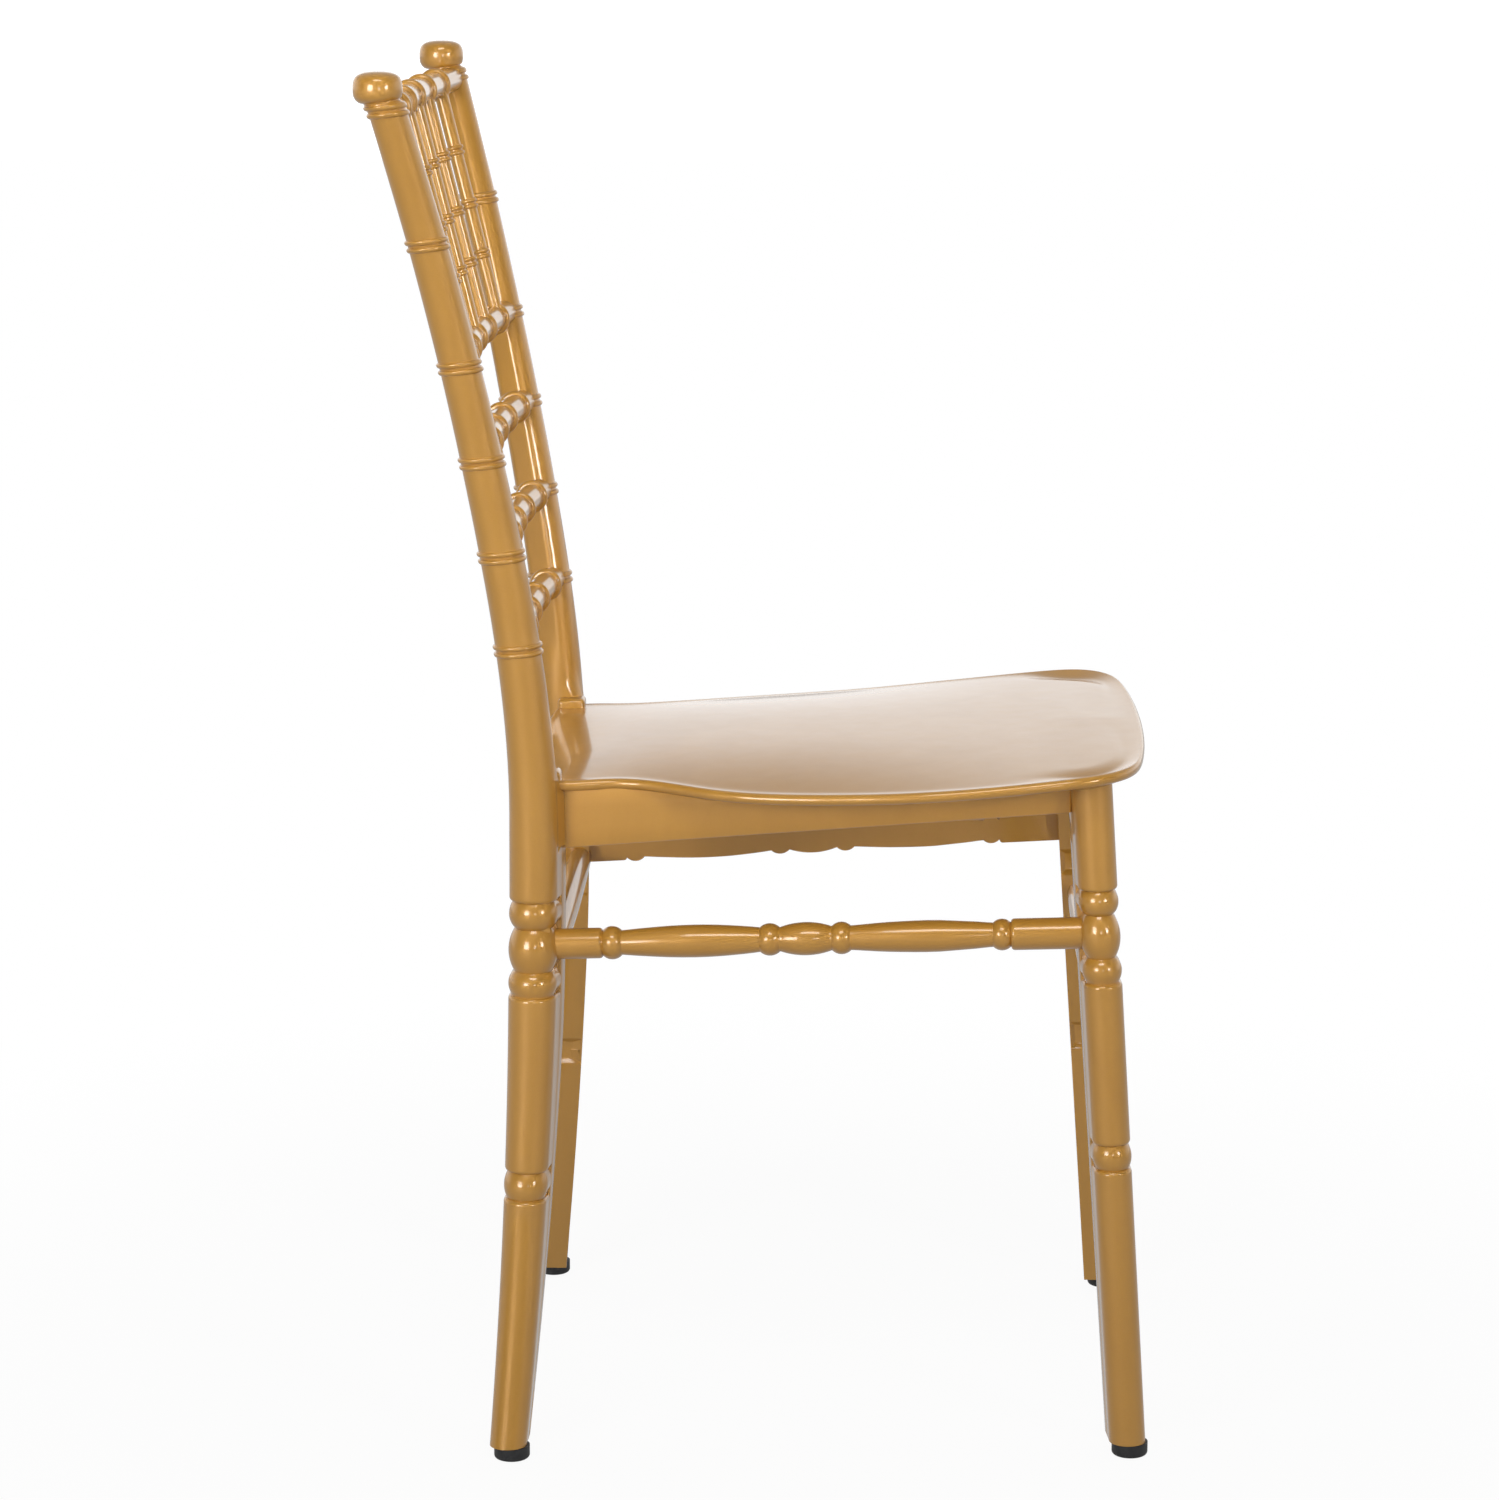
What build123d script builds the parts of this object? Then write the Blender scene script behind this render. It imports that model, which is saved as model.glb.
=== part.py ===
"""A moulded resin banquet chair: turned posts, legs, rungs, spindles and stretchers, a saddle seat
panel on four rails, and rubber glides. Millimetres, +Z up, the front of the chair towards -Y.
Left and right are the sitter's: left pieces lie at +X and right pieces are their mirror images."""

import os
from math import cos, radians, sin

from build123d import *

# Heights above the floor, and distances below or above what they line up with
seat_height = 444.0
waist_drop = 24.0
knob_height = 906.0
crest_drop = 19.0
spindle_rail_drop = 162.4
lower_rung_rise = 92.8
plain_ring_share = 0.49
rear_ball_drop = 111.0
front_ball_drop = 92.5
rear_ring_height = 175.0
front_ring_height = 202.5
cross_rear_drop = 110.0
cross_front_drop = 138.0

# Rear posts: distances between the two axes, and how far the top and foot lie behind the waist
post_gap_top = 433.0
post_gap_waist = 288.6
post_gap_foot = 410.0
post_back = 151.9
post_rake = 89.0
post_rake_ease = 400.0
post_kick = 14.5
post_waist_d = 32.4
post_bend_d = 28.8
post_top_d = 26.4
post_foot_d = 24.4
post_full_below = 120.0
post_full_above = 10.0
post_bend_rise = 140.0
knob_d = 33.0
knob_thickness = 19.6
knob_neck = 2.4
knob_flat_d = 8.0
knob_fullness = 0.6

# Front legs: straight, splayed outward and forward towards the floor
leg_gap_top = 328.0
leg_gap_foot = 369.0
leg_front = -215.5
leg_lean = 30.6
leg_top_d = 26.2
leg_foot_d = 24.6

# Flat inner web of the four legs, below the rails
web_depth = 13.0
flank_share = 0.5
flank_taper = 0.96
web_taper = 0.94
web_lap = 0.05
wing = 4.5
wing_fade_height = 200.0
pocket_width = 10.0
pocket_height = 18.0
pocket_depth = 5.0
rear_pocket_drop = 18.0
rear_low_pocket_rise = 12.0
front_pocket_drop = 20.0
front_low_pocket_drop = 4.0

# Turned details
bead_rise = 1.5
bead_half = 1.65
bead_spacing = 4.6
groove_depth = 1.8
neck_depth = 3.8
large_ball_half = 14.2
small_ball_half = 8.2
ball_proud = 0.3
small_neck_share = 0.7
ring_neck_share = 0.6
station_gap = 0.25

# Back
rung_d = 18.0
rung_bow = 9.0
rung_bead = 2.4
rung_bead_sink = 0.4
rung_short = 4.0
rung_set = 3.0
crest_bead_reach = 0.662
rail_bead_reach = 0.735
ladder_bead_reach = 0.78
spindle_d = 9.6
spindle_bead = 1.3
spindle_bead_spacing = 3.9
spindle_count = 5
spindle_seat = 5.0
spindle_set = 3.0
spindle_bead_shares = (0.268, 0.493, 0.732)

# Stretchers
stretcher_d = 20.4
stretcher_waist_d = 15.6
cross_stretcher_d = 15.6
cross_swell = 1.3
tenon_d = 9.0
tenon_length = 6.0
stretcher_bead_half = 5.4
side_stretcher_mid = -28.6
side_bead_inner = 22.7
side_bead_outer = 130.0
side_rear_lift = 3.0
side_front_lift = 2.5
side_rear_sink = 7.0
side_front_sink = 5.0
cross_rear_set = 11.0
cross_front_set = 3.0
cross_rear_sink = 2.0
cross_front_sink = 3.0

# Rails and seat
rail_thickness = 10.0
rail_drop_rear = 44.0
rail_drop_front = 13.0
tongue_thickness = 6.0
tongue_depth = 7.0
tongue_step = 4.0
rail_inset_rear = 10.5
rail_inset_front = 6.5
rear_rail_set = 2.0
front_rail_set = 1.0
rear_block_width = 26.0
rear_block_depth = 30.0
rear_block_lead = 2.0
front_block_width = 24.0
front_block_lead = 0.6
seat_thickness = 7.5
seat_half_width = 201.0
seat_waist_half_width = 138.0
seat_front = -255.4
seat_crown = 7.0
seat_rise = 20.0
seat_back_lap = 6.0

# Glides and screws
glide_height = 9.0
glide_stem_d = 12.0
glide_stem_length = 16.0
glide_round = 2.5
glide_margin = 0.3
screw_d = 4.0
screw_head_d = 8.4
screw_head_height = 3.0
screw_grip = 4.0
screw_head_sink = 2.0
screw_shares = (0.12, 0.88)

# Play between a tenon, stem or screw and its hole
fit = 0.15

# How far blanks and cutters run past what they trim
side_spare = 12.0
end_spare = 20.0
trim_run = 90.0
cutter_run = 60.0
lap = 3.0

waist_height = seat_height - waist_drop
crest_height = knob_height - crest_drop
spindle_rail_height = crest_height - spindle_rail_drop
lower_rung_height = seat_height + lower_rung_rise
ladder_pitch = (spindle_rail_height - lower_rung_height) / 3
plain_ring_height = spindle_rail_height + plain_ring_share * spindle_rail_drop
rear_ball_height = seat_height - rear_ball_drop
front_ball_height = seat_height - front_ball_drop
cross_rear_height = seat_height - cross_rear_drop
cross_front_height = seat_height - cross_front_drop

os.makedirs("parts", exist_ok=True)


def write(piece, name):
    piece.label = name
    export_step(piece, f"parts/{name}.step")


def mirrored(piece, name):
    """The right-hand twin of a left-hand piece."""
    with BuildPart() as twin:
        mirror(piece, about=Plane.YZ)
    write(twin.part, name)


# Axes of the posts and legs on the left side, as points at a height


def post_axis(z):
    """The rear post bows outward above and below its waist, rakes back above and kicks back below."""
    rise = z - waist_height
    if rise > 0:
        span = knob_height - waist_height
        flare = (post_gap_top - post_gap_waist) / 2 * (rise / span) ** 2
        full = span**2 / (span + post_rake_ease)
        back = post_rake / full * rise**2 / (rise + post_rake_ease)
    else:
        flare = (post_gap_foot - post_gap_waist) / 2 * (rise / waist_height) ** 2
        back = post_kick * (rise / waist_height) ** 2
    return (post_gap_waist / 2 + flare, post_back + back, z)


def leg_axis(z):
    """The front leg is straight."""
    down = 1 - z / seat_height
    return (leg_gap_top / 2 + (leg_gap_foot - leg_gap_top) / 2 * down, leg_front - leg_lean * down, z)


def across(axis, z):
    """The plane square to an axis: its local x points at the chair's middle and its y to the front."""
    step = Vector(*axis(z + 1)) - Vector(*axis(z - 1))
    return Plane(origin=axis(z), x_dir=(-1, 0, 0), z_dir=step)


def between(z, points):
    """Straight-line interpolation in a list of (height, value) points."""
    for (z0, v0), (z1, v1) in zip(points, points[1:]):
        if z <= z1:
            return v0 + (v1 - v0) * (z - z0) / (z1 - z0)
    return points[-1][1]


# Turned profiles as lists of (height, radius)

ball_steps = (-80, -60, -40, -20, 0, 20, 40, 60, 80)
bead_steps = (-50, -25, 0, 25, 50)
bead_reach = bead_spacing / 2 + bead_half


def ball(z, half, radius, neck):
    """A full round between two grooves whose floor is neck deep under its widest radius."""
    return [(z + half * sin(radians(a)), radius - neck * (1 - cos(radians(a)))) for a in ball_steps]


def double_bead(z, shaft):
    """Two half-round beads on a shaft, with a plain valley between them."""
    rows = []
    for mid in (z - bead_spacing / 2, z + bead_spacing / 2):
        rows.append((mid - bead_half, shaft(z)))
        for a in bead_steps:
            rows.append((mid + bead_half * sin(radians(a)), shaft(z) + bead_rise * cos(radians(a))))
        rows.append((mid + bead_half, shaft(z)))
    return rows


def shoulder(z, shaft, toward):
    """The rounded end of a plain shaft beside a groove; toward is +1 where the groove is above."""
    at = z - toward * groove_depth
    near = z - toward * groove_depth / 3
    rows = [(at, shaft(at)), (near, shaft(at) - groove_depth / 3), (z, shaft(at) - groove_depth)]
    return rows if toward > 0 else rows[::-1]


def turned_group(mid, shaft):
    """The turning at stretcher height: small ball, large ball, small ball, between plain shafts."""
    r = shaft(mid)
    small_neck = neck_depth * small_neck_share
    return [
        *shoulder(mid - large_ball_half - 2 * small_ball_half, shaft, 1),
        *ball(mid - large_ball_half - small_ball_half, small_ball_half, r, small_neck),
        *ball(mid, large_ball_half, r + ball_proud, neck_depth),
        *ball(mid + large_ball_half + small_ball_half, small_ball_half, r, small_neck),
        *shoulder(mid + large_ball_half + 2 * small_ball_half, shaft, -1),
    ]


def turned_ring(mid, shaft):
    """The single small ball lower down the leg."""
    r = shaft(mid)
    return [
        *shoulder(mid - small_ball_half, shaft, 1),
        *ball(mid, small_ball_half, r + ball_proud, neck_depth * ring_neck_share),
        *shoulder(mid + small_ball_half, shaft, -1),
    ]


def plain(low, high, count, shaft):
    """Evenly spaced stations of a plain shaft from one height to just short of another."""
    heights = [low + (high - low) * step / count for step in range(count)]
    return [(z, shaft(z)) for z in heights]


def ordered(rows):
    """Stations from the bottom up, with any that crowd or fall back left out."""
    kept = [rows[0]]
    for z, r in rows[1:]:
        if z - kept[-1][0] > station_gap:
            kept.append((z, r))
    return kept


def turned(axis, rows):
    """A round solid along an axis."""
    with BuildPart() as piece:
        for z, radius in rows:
            with BuildSketch(across(axis, z)):
                Circle(radius)
        loft(ruled=True)
    return piece.part


def half_turned(axis, rows, shaft, wing_side):
    """The turned outside of a lower leg: a half round that runs on as flat flanks to the web."""
    with BuildPart() as piece:
        for z, r in rows:
            face = shaft(z) * flank_share
            near = wing_side * (r + wing / 2)
            far = -wing_side * r * flank_taper
            with BuildSketch(across(axis, z)):
                with BuildLine():
                    ThreePointArc((0, wing_side * r), (-r, 0), (0, -wing_side * r))
                    Polyline((0, -wing_side * r), (face, far), (face, near), (0, wing_side * r))
                make_face()
        loft(ruled=True)
    return piece.part


def web(axis, heights, shaft, wing_side):
    """The plain flat web along the inner side of a lower leg."""
    with BuildPart() as piece:
        for z in heights:
            r = shaft(z)
            inner = web_depth * r / shaft(heights[-1])
            outer = r * (flank_share - web_lap)
            near = wing_side * (r + wing * min(1, z / wing_fade_height))
            far = -wing_side * r * web_taper
            with BuildSketch(across(axis, z)):
                with BuildLine():
                    Polyline((outer, near), (inner, near), (inner, far), (outer, far), close=True)
                make_face()
        loft(ruled=True)
    return piece.part


def hole(start, toward, diameter, length):
    """A round cutter from a point along a direction."""
    with BuildPart() as cutter:
        with BuildSketch(Plane(origin=start, z_dir=toward)):
            Circle(diameter / 2)
        extrude(amount=length)
    return cutter.part


def inner_pocket(axis, z):
    """The cored recess in the web's inner face."""
    with BuildPart() as cutter:
        with BuildSketch(across(axis, z)):
            with Locations((web_depth, 0)):
                Rectangle(2 * pocket_depth, pocket_width)
        extrude(amount=pocket_height / 2, both=True)
    return cutter.part


# Stretcher positions, needed by the legs that hold them

side_rear = Vector(*post_axis(rear_ball_height + side_rear_lift))
side_front = Vector(*leg_axis(front_ball_height + side_front_lift))
side_run = (side_front - side_rear).normalized()
side_start = side_rear + side_run * (post_waist_d / 2 - side_rear_sink)
side_end = side_front - side_run * (leg_top_d / 2 - side_front_sink)

rung_heights = {
    "crest_rail": crest_height,
    "spindle_rail": spindle_rail_height,
    "upper_ladder_rung": lower_rung_height + 2 * ladder_pitch,
    "middle_ladder_rung": lower_rung_height + ladder_pitch,
    "lower_ladder_rung": lower_rung_height,
}


def rung_ends(z):
    """End point of a rung inside the left post, and the middle of its bow."""
    x, y, _ = post_axis(z)
    return Vector(x - rung_short, y - rung_set, z), Vector(0, y - rung_set + rung_bow, z)


def rung_arc(z):
    end, middle = rung_ends(z)
    with BuildLine() as path:
        ThreePointArc((-end.X, end.Y, z), tuple(middle), tuple(end))
    return path.line


# Seat surface from back to front: share of the depth, of the rise at the sides, of the crown between

seat_shares = [
    (0.0, 0.0, 0.1),
    (0.25, 0.0, 0.45),
    (0.385, -0.02, 1.0),
    (0.52, 0.06, 1.0),
    (0.675, 0.34, 0.6),
    (0.83, 0.74, 0.2),
    (1.0, 1.05, 0.1),
]
blank_back = post_back + end_spare
blank_front = seat_front - end_spare
blank_reach = seat_half_width + side_spare
seat_sections = [
    (blank_back + (blank_front - blank_back) * depth, rise, crown) for depth, rise, crown in seat_shares
]


def seat_slab(thickness):
    """The crowned seat blank, thickness measured up from the underside."""
    with BuildPart() as slab:
        for y, rise, crown in seat_sections:
            low = seat_height - seat_thickness / 2 + rise * seat_rise
            high = low + seat_crown * crown
            top = low + thickness
            with BuildSketch(Plane(origin=(0, y, 0), x_dir=(1, 0, 0), z_dir=(0, -1, 0))):
                with BuildLine():
                    ThreePointArc((-blank_reach, low), (0, high), (blank_reach, low))
                    Line((blank_reach, low), (blank_reach, top))
                    ThreePointArc((blank_reach, top), (0, high + thickness), (-blank_reach, top))
                    Line((-blank_reach, top), (-blank_reach, low))
                make_face()
        loft()
    return slab.part


above_seat = seat_slab(trim_run)


# Rear posts


def post_shaft(z):
    """Plain radius of the rear post."""
    diameters = [
        (0, post_foot_d),
        (waist_height - post_full_below, post_waist_d),
        (waist_height - post_full_above, post_waist_d),
        (waist_height + post_bend_rise, post_bend_d),
        (knob_height, post_top_d),
    ]
    return between(z, diameters) / 2


def leg_shaft(z):
    """Plain radius of the front leg."""
    return between(z, [(0, leg_foot_d), (seat_height, leg_top_d)]) / 2


rail_low_rear = seat_height - rail_drop_rear
rail_low_front = seat_height - rail_drop_front
rear_lower_top = rail_low_rear + lap
front_lower_top = rail_low_front + lap
foot_start = -glide_height
ring_half = small_ball_half + groove_depth
group_half = large_ball_half + 2 * small_ball_half + groove_depth

lower_post_rows = ordered(
    [
        *plain(foot_start, rear_ring_height - ring_half, 5, post_shaft),
        *turned_ring(rear_ring_height, post_shaft),
        *plain(rear_ring_height + ring_half, rear_ball_height - group_half, 4, post_shaft),
        *turned_group(rear_ball_height, post_shaft),
        (rear_lower_top, post_shaft(rear_lower_top)),
    ]
)
knob_low = knob_height - knob_thickness / 2
knob_rows = [
    (knob_low - knob_neck, post_top_d / 2 - knob_neck),
    (knob_low, post_top_d / 2 - knob_neck),
    *[
        (
            knob_height + knob_thickness / 2 * sin(radians(a)),
            knob_d / 2 * cos(radians(a)) ** knob_fullness,
        )
        for a in (-60, -40, -20, 0, 20, 40, 58, 72, 82)
    ],
    (knob_height + knob_thickness / 2, knob_flat_d / 2),
]
upper_post_rows = []
shaft_low = rear_lower_top
for z in sorted([*rung_heights.values(), plain_ring_height]):
    upper_post_rows += [*plain(shaft_low, z - bead_reach, 4, post_shaft), *double_bead(z, post_shaft)]
    shaft_low = z + bead_reach
upper_post_rows = ordered([*upper_post_rows, *knob_rows])

rear_half = half_turned(post_axis, lower_post_rows, post_shaft, 1)
rear_web_heights = [z for z, _ in plain(foot_start, rear_lower_top, 7, post_shaft)] + [rear_lower_top]
rear_web = web(post_axis, rear_web_heights, post_shaft, 1)
rear_upper = turned(post_axis, upper_post_rows)

rear_block_front = post_back - post_waist_d / 2 - rear_block_lead
rear_block_inner = post_gap_waist / 2 - rear_block_width
with BuildPart() as rear_block:
    with BuildSketch(Plane.XY.offset(rail_low_rear)):
        with Locations((rear_block_inner, rear_block_front)):
            Rectangle(rear_block_width, rear_block_depth, align=(Align.MIN, Align.MIN))
    extrude(amount=rail_drop_rear)
    add(above_seat, mode=Mode.SUBTRACT)


# Rails: plates under the seat, each with a tongue at both ends

front_block_back = leg_front + leg_top_d / 2 + front_block_lead
side_rail_rear = Vector(post_gap_waist / 2 - rail_inset_rear, rear_block_front, 0)
side_rail_front = Vector(leg_gap_top / 2 - rail_inset_front, front_block_back, 0)
rail_run = (side_rail_front - side_rail_rear).normalized()
front_block_inner = leg_gap_top / 2 - front_block_width


def plate(start, run, inward, length, low_start, low_end, thickness):
    """A plate standing on edge from start along run, with a sloping lower edge."""
    high = seat_height + cutter_run
    with BuildPart() as piece:
        with BuildSketch(Plane(origin=start, x_dir=run, z_dir=run.cross(Vector(0, 0, 1)))):
            with BuildLine():
                Polyline((0, low_start), (length, low_end), (length, high), (0, high), close=True)
            make_face()
        extrude(amount=thickness, dir=inward)
    return piece.part


def rail(start, run, inward, length, low_start, low_end):
    """A rail with a thinner tongue at each end; returns the rail and the cutter for its tongues."""
    slope = (low_end - low_start) / length
    full = length + 2 * tongue_depth
    first = start - run * tongue_depth + inward * ((rail_thickness - tongue_thickness) / 2)
    low_first = low_start - slope * tongue_depth + tongue_step
    low_last = low_end + slope * tongue_depth + tongue_step
    body = plate(start, run, inward, length, low_start, low_end, rail_thickness)
    tongue = plate(first, run, inward, full, low_first, low_last, tongue_thickness)
    wide = tongue_thickness + 2 * fit
    socket = plate(first - inward * fit, run, inward, full, low_first - fit, low_last - fit, wide)
    with BuildPart() as piece:
        add(body)
        add(tongue)
        add(above_seat, mode=Mode.SUBTRACT)
    return piece.part, socket


rail_length = (side_rail_front - side_rail_rear).length
sideways = Vector(1, 0, 0)
forward = Vector(0, -1, 0)
side_rail, side_socket = rail(
    side_rail_rear, rail_run, sideways * -1, rail_length, rail_low_rear, rail_low_front
)
front_rail_start = Vector(-front_block_inner, leg_front - front_rail_set, 0)
front_rail, front_socket = rail(
    front_rail_start, sideways, forward, 2 * front_block_inner, rail_low_front, rail_low_front
)
rear_rail_start = Vector(-rear_block_inner, post_back - rear_rail_set, 0)
rear_rail, rear_socket = rail(
    rear_rail_start, sideways, forward, 2 * rear_block_inner, rail_low_rear, rail_low_rear
)

# Screws that hold the seat: heads countersunk in the lower edge of the side rails

screw_spots = []
for share in screw_shares:
    spot = side_rail_rear + rail_run * (rail_length * share) - sideways * (rail_thickness / 2)
    low = rail_low_rear + (rail_low_front - rail_low_rear) * share
    screw_spots.append((spot.X, spot.Y, low + screw_head_height + screw_head_sink))


def seat_underside(x, y):
    """Height of the seat's underside at a point, from the section list."""
    rows = sorted(seat_sections)
    rise = between(y, [(row[0], row[1]) for row in rows])
    crown = between(y, [(row[0], row[2]) for row in rows])
    inside = 1 - (x / blank_reach) ** 2
    return seat_height - seat_thickness / 2 + rise * seat_rise + seat_crown * crown * inside


def screw(spot, play):
    """A pan-head screw from its head seat up into the seat panel; play widens it into its own hole."""
    x, y, z = spot
    top = seat_underside(x, y) + screw_grip
    reach = cutter_run if play else 0
    with BuildPart() as piece:
        with BuildSketch(Plane.XY.offset(z)):
            with Locations((x, y)):
                Circle(screw_d / 2 + play)
        extrude(amount=top - z)
        with BuildSketch(Plane.XY.offset(z)):
            with Locations((x, y)):
                Circle(screw_head_d / 2 + play)
        extrude(amount=-screw_head_height - reach)
    return piece.part


screw_pair = [screw(spot, 0) for spot in screw_spots]
screw_holes = [screw(spot, fit) for spot in screw_spots]

with BuildPart() as left_side_rail:
    add(side_rail)
    add(screw_holes, mode=Mode.SUBTRACT)
write(left_side_rail.part, "left_side_rail")
mirrored(left_side_rail.part, "right_side_rail")
write(front_rail, "front_rail")
write(rear_rail, "rear_rail")

with BuildPart() as seat_screws:
    add(screw_pair)
    mirror(about=Plane.YZ)
write(seat_screws.part, "seat_screws")


# Stretchers: beads and swells turned on a straight bar with a tenon at each end


def bar_profile(stretch_r, waist_r, inner, outer):
    """Half of a stretcher's outline from its middle to its plain end, as (run, radius) arcs."""
    h = stretcher_bead_half
    return [
        ((0, stretch_r), (inner * 0.45, stretch_r * 0.96), (inner - h, waist_r)),
        ((inner - h, waist_r), (inner, stretch_r), (inner + h, waist_r)),
        ((inner + h, waist_r), ((inner + outer) / 2, stretch_r), (outer - h, waist_r)),
        ((outer - h, waist_r), (outer, stretch_r), (outer + h, waist_r)),
        ((outer + h, waist_r), (outer + h * 1.25, stretch_r * 0.95), (outer + h * 1.7, stretch_r)),
    ]


def stretcher(middle, run, back_reach, fore_reach, diameter, inner, outer):
    """A turned bar through middle along run, its plain ends reaching back and fore to the tenons."""
    r = diameter / 2
    arcs = bar_profile(r, stretcher_waist_d / 2 * diameter / stretcher_d, inner, outer)
    end = arcs[-1][-1][0]
    with BuildPart() as bar:
        with BuildSketch(Plane(origin=middle, x_dir=run, z_dir=run.cross(Vector(0, 0, 1)))):
            with BuildLine():
                for side, reach in ((1, fore_reach), (-1, back_reach)):
                    for points in arcs:
                        ThreePointArc(*[(side * s, v) for s, v in points])
                    Polyline(
                        (side * end, r),
                        (side * reach, r),
                        (side * reach, tenon_d / 2),
                        (side * (reach + tenon_length), tenon_d / 2),
                        (side * (reach + tenon_length), 0),
                    )
                Line((-back_reach - tenon_length, 0), (fore_reach + tenon_length, 0))
            make_face()
        revolve(axis=Axis(tuple(middle), tuple(run)))
    return bar.part


def stretcher_sockets(start, run, diameter):
    """The cutter for one end: the plain end and its tenon, opening away from the leg along run."""
    tip = start - run * tenon_length
    wide = hole(start, run, diameter + 2 * fit, cutter_run)
    narrow = hole(tip, run, tenon_d + 2 * fit, cutter_run)
    return [wide, narrow]


def cross_sockets(reach, y, z):
    return stretcher_sockets(Vector(reach, y, z), sideways * -1, cross_stretcher_d)


share = (side_stretcher_mid - side_start.Y) / (side_end.Y - side_start.Y)
side_mid = side_start + (side_end - side_start) * share
back_reach = (side_mid - side_start).length
fore_reach = (side_end - side_mid).length
left_side_stretcher = stretcher(
    side_mid, side_run, back_reach, fore_reach, stretcher_d, side_bead_inner, side_bead_outer
)
write(left_side_stretcher, "left_side_stretcher")
mirrored(left_side_stretcher, "right_side_stretcher")

rear_hold = Vector(*post_axis(cross_rear_height))
front_hold = Vector(*leg_axis(cross_front_height))
cross_rear_y = rear_hold.Y - cross_rear_set
cross_front_y = front_hold.Y + cross_front_set
rear_cross_reach = rear_hold.X - web_depth + cross_rear_sink
front_cross_reach = front_hold.X - web_depth + cross_front_sink


def cross_stretcher(y, z, reach):
    """A plain stretcher from side to side that swells towards its middle, with a tenon at each end."""
    r = cross_stretcher_d / 2
    tip = reach + tenon_length
    with BuildPart() as bar:
        with BuildSketch(Plane(origin=(0, y, z), x_dir=sideways, z_dir=sideways.cross(Vector(0, 0, 1)))):
            with BuildLine():
                ThreePointArc((-reach, r), (0, r + cross_swell), (reach, r))
                for side in (1, -1):
                    Polyline(
                        (side * reach, r), (side * reach, tenon_d / 2), (side * tip, tenon_d / 2), (side * tip, 0)
                    )
                Line((-tip, 0), (tip, 0))
            make_face()
        revolve(axis=Axis((0, y, z), tuple(sideways)))
    return bar.part


write(cross_stretcher(cross_rear_y, cross_rear_height, rear_cross_reach), "rear_stretcher")
write(cross_stretcher(cross_front_y, cross_front_height, front_cross_reach), "front_stretcher")


# Back rungs and spindles


rung_reaches = {"crest_rail": crest_bead_reach, "spindle_rail": rail_bead_reach}


def bead_place(reach, number):
    """Share of a rung's length at one of its beads, where the outer ones lie at the reach from its middle."""
    return 0.5 + reach * ((number - 1) / (spindle_count - 1) - 0.5)


def spindle_line(number):
    """Low and high ends of a spindle, set forward from the bows of the spindle rail and the crest rail."""
    forward = Vector(0, -spindle_set, 0)
    low = rung_arc(spindle_rail_height) @ bead_place(rail_bead_reach, number) + forward
    high = rung_arc(crest_height) @ bead_place(crest_bead_reach, number) + forward
    along = (high - low).normalized()
    return low + along * (rung_d / 2 - spindle_seat), high - along * (rung_d / 2 - spindle_seat)


def spindle(number):
    """A round rod with pairs of half-round beads, turned about its own line."""
    low, high = spindle_line(number)
    along = high - low
    r = spindle_d / 2
    half_gap = spindle_bead_spacing / 2
    with BuildPart() as piece:
        with BuildSketch(Plane(origin=low, x_dir=along, z_dir=along.cross(Vector(1, 0, 0)))):
            with BuildLine():
                start = 0
                for step in spindle_bead_shares:
                    for mid in (along.length * step - half_gap, along.length * step + half_gap):
                        Line((start, r), (mid - spindle_bead, r))
                        start = mid + spindle_bead
                        ThreePointArc((mid - spindle_bead, r), (mid, r + spindle_bead), (start, r))
                Line((start, r), (along.length, r))
                Polyline((along.length, r), (along.length, 0), (0, 0), (0, r))
            make_face()
        revolve(axis=Axis(tuple(low), tuple(along)))
    return piece.part


spindle_holes = []
for number in range(1, spindle_count + 1):
    write(spindle(number), f"spindle_{number}")
    low, high = spindle_line(number)
    spindle_holes += [hole(low, high - low, spindle_d + 2 * fit, (high - low).length)]

for name, z in rung_heights.items():
    arc = rung_arc(z)
    with BuildPart() as rung:
        with BuildSketch(Plane(origin=arc @ 0, z_dir=arc % 0)):
            Circle(rung_d / 2)
        sweep(path=arc)
        for number in range(1, spindle_count + 1):
            at = bead_place(rung_reaches.get(name, ladder_bead_reach), number)
            with Locations(Plane(origin=arc @ at, z_dir=arc % at)):
                Torus(rung_d / 2 - rung_bead_sink, rung_bead)
        if name in ("crest_rail", "spindle_rail"):
            add(spindle_holes, mode=Mode.SUBTRACT)
    write(rung.part, name)

rung_holes = []
for z in rung_heights.values():
    arc = rung_arc(z)
    rung_holes.append(hole(arc @ 1, (arc % 1) * -1, rung_d + 2 * fit, cutter_run))


# Glides: a rubber disc under each leg with a stem up its middle


def glide(axis, diameter):
    x, y, _ = axis(glide_height)
    with BuildPart() as piece:
        with BuildSketch(Plane.XY):
            with Locations((x, y)):
                Circle(diameter / 2)
        extrude(amount=glide_height)
        fillet(piece.edges().group_by(Axis.Z)[0], glide_round)
        with BuildSketch(Plane.XY.offset(glide_height)):
            with Locations((x, y)):
                Circle(glide_stem_d / 2)
        extrude(amount=glide_stem_length)
    return piece.part


def glide_hole(axis):
    x, y, _ = axis(glide_height)
    return hole((x, y, 0), Vector(0, 0, 1), glide_stem_d + 2 * fit, glide_height + glide_stem_length)


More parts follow.
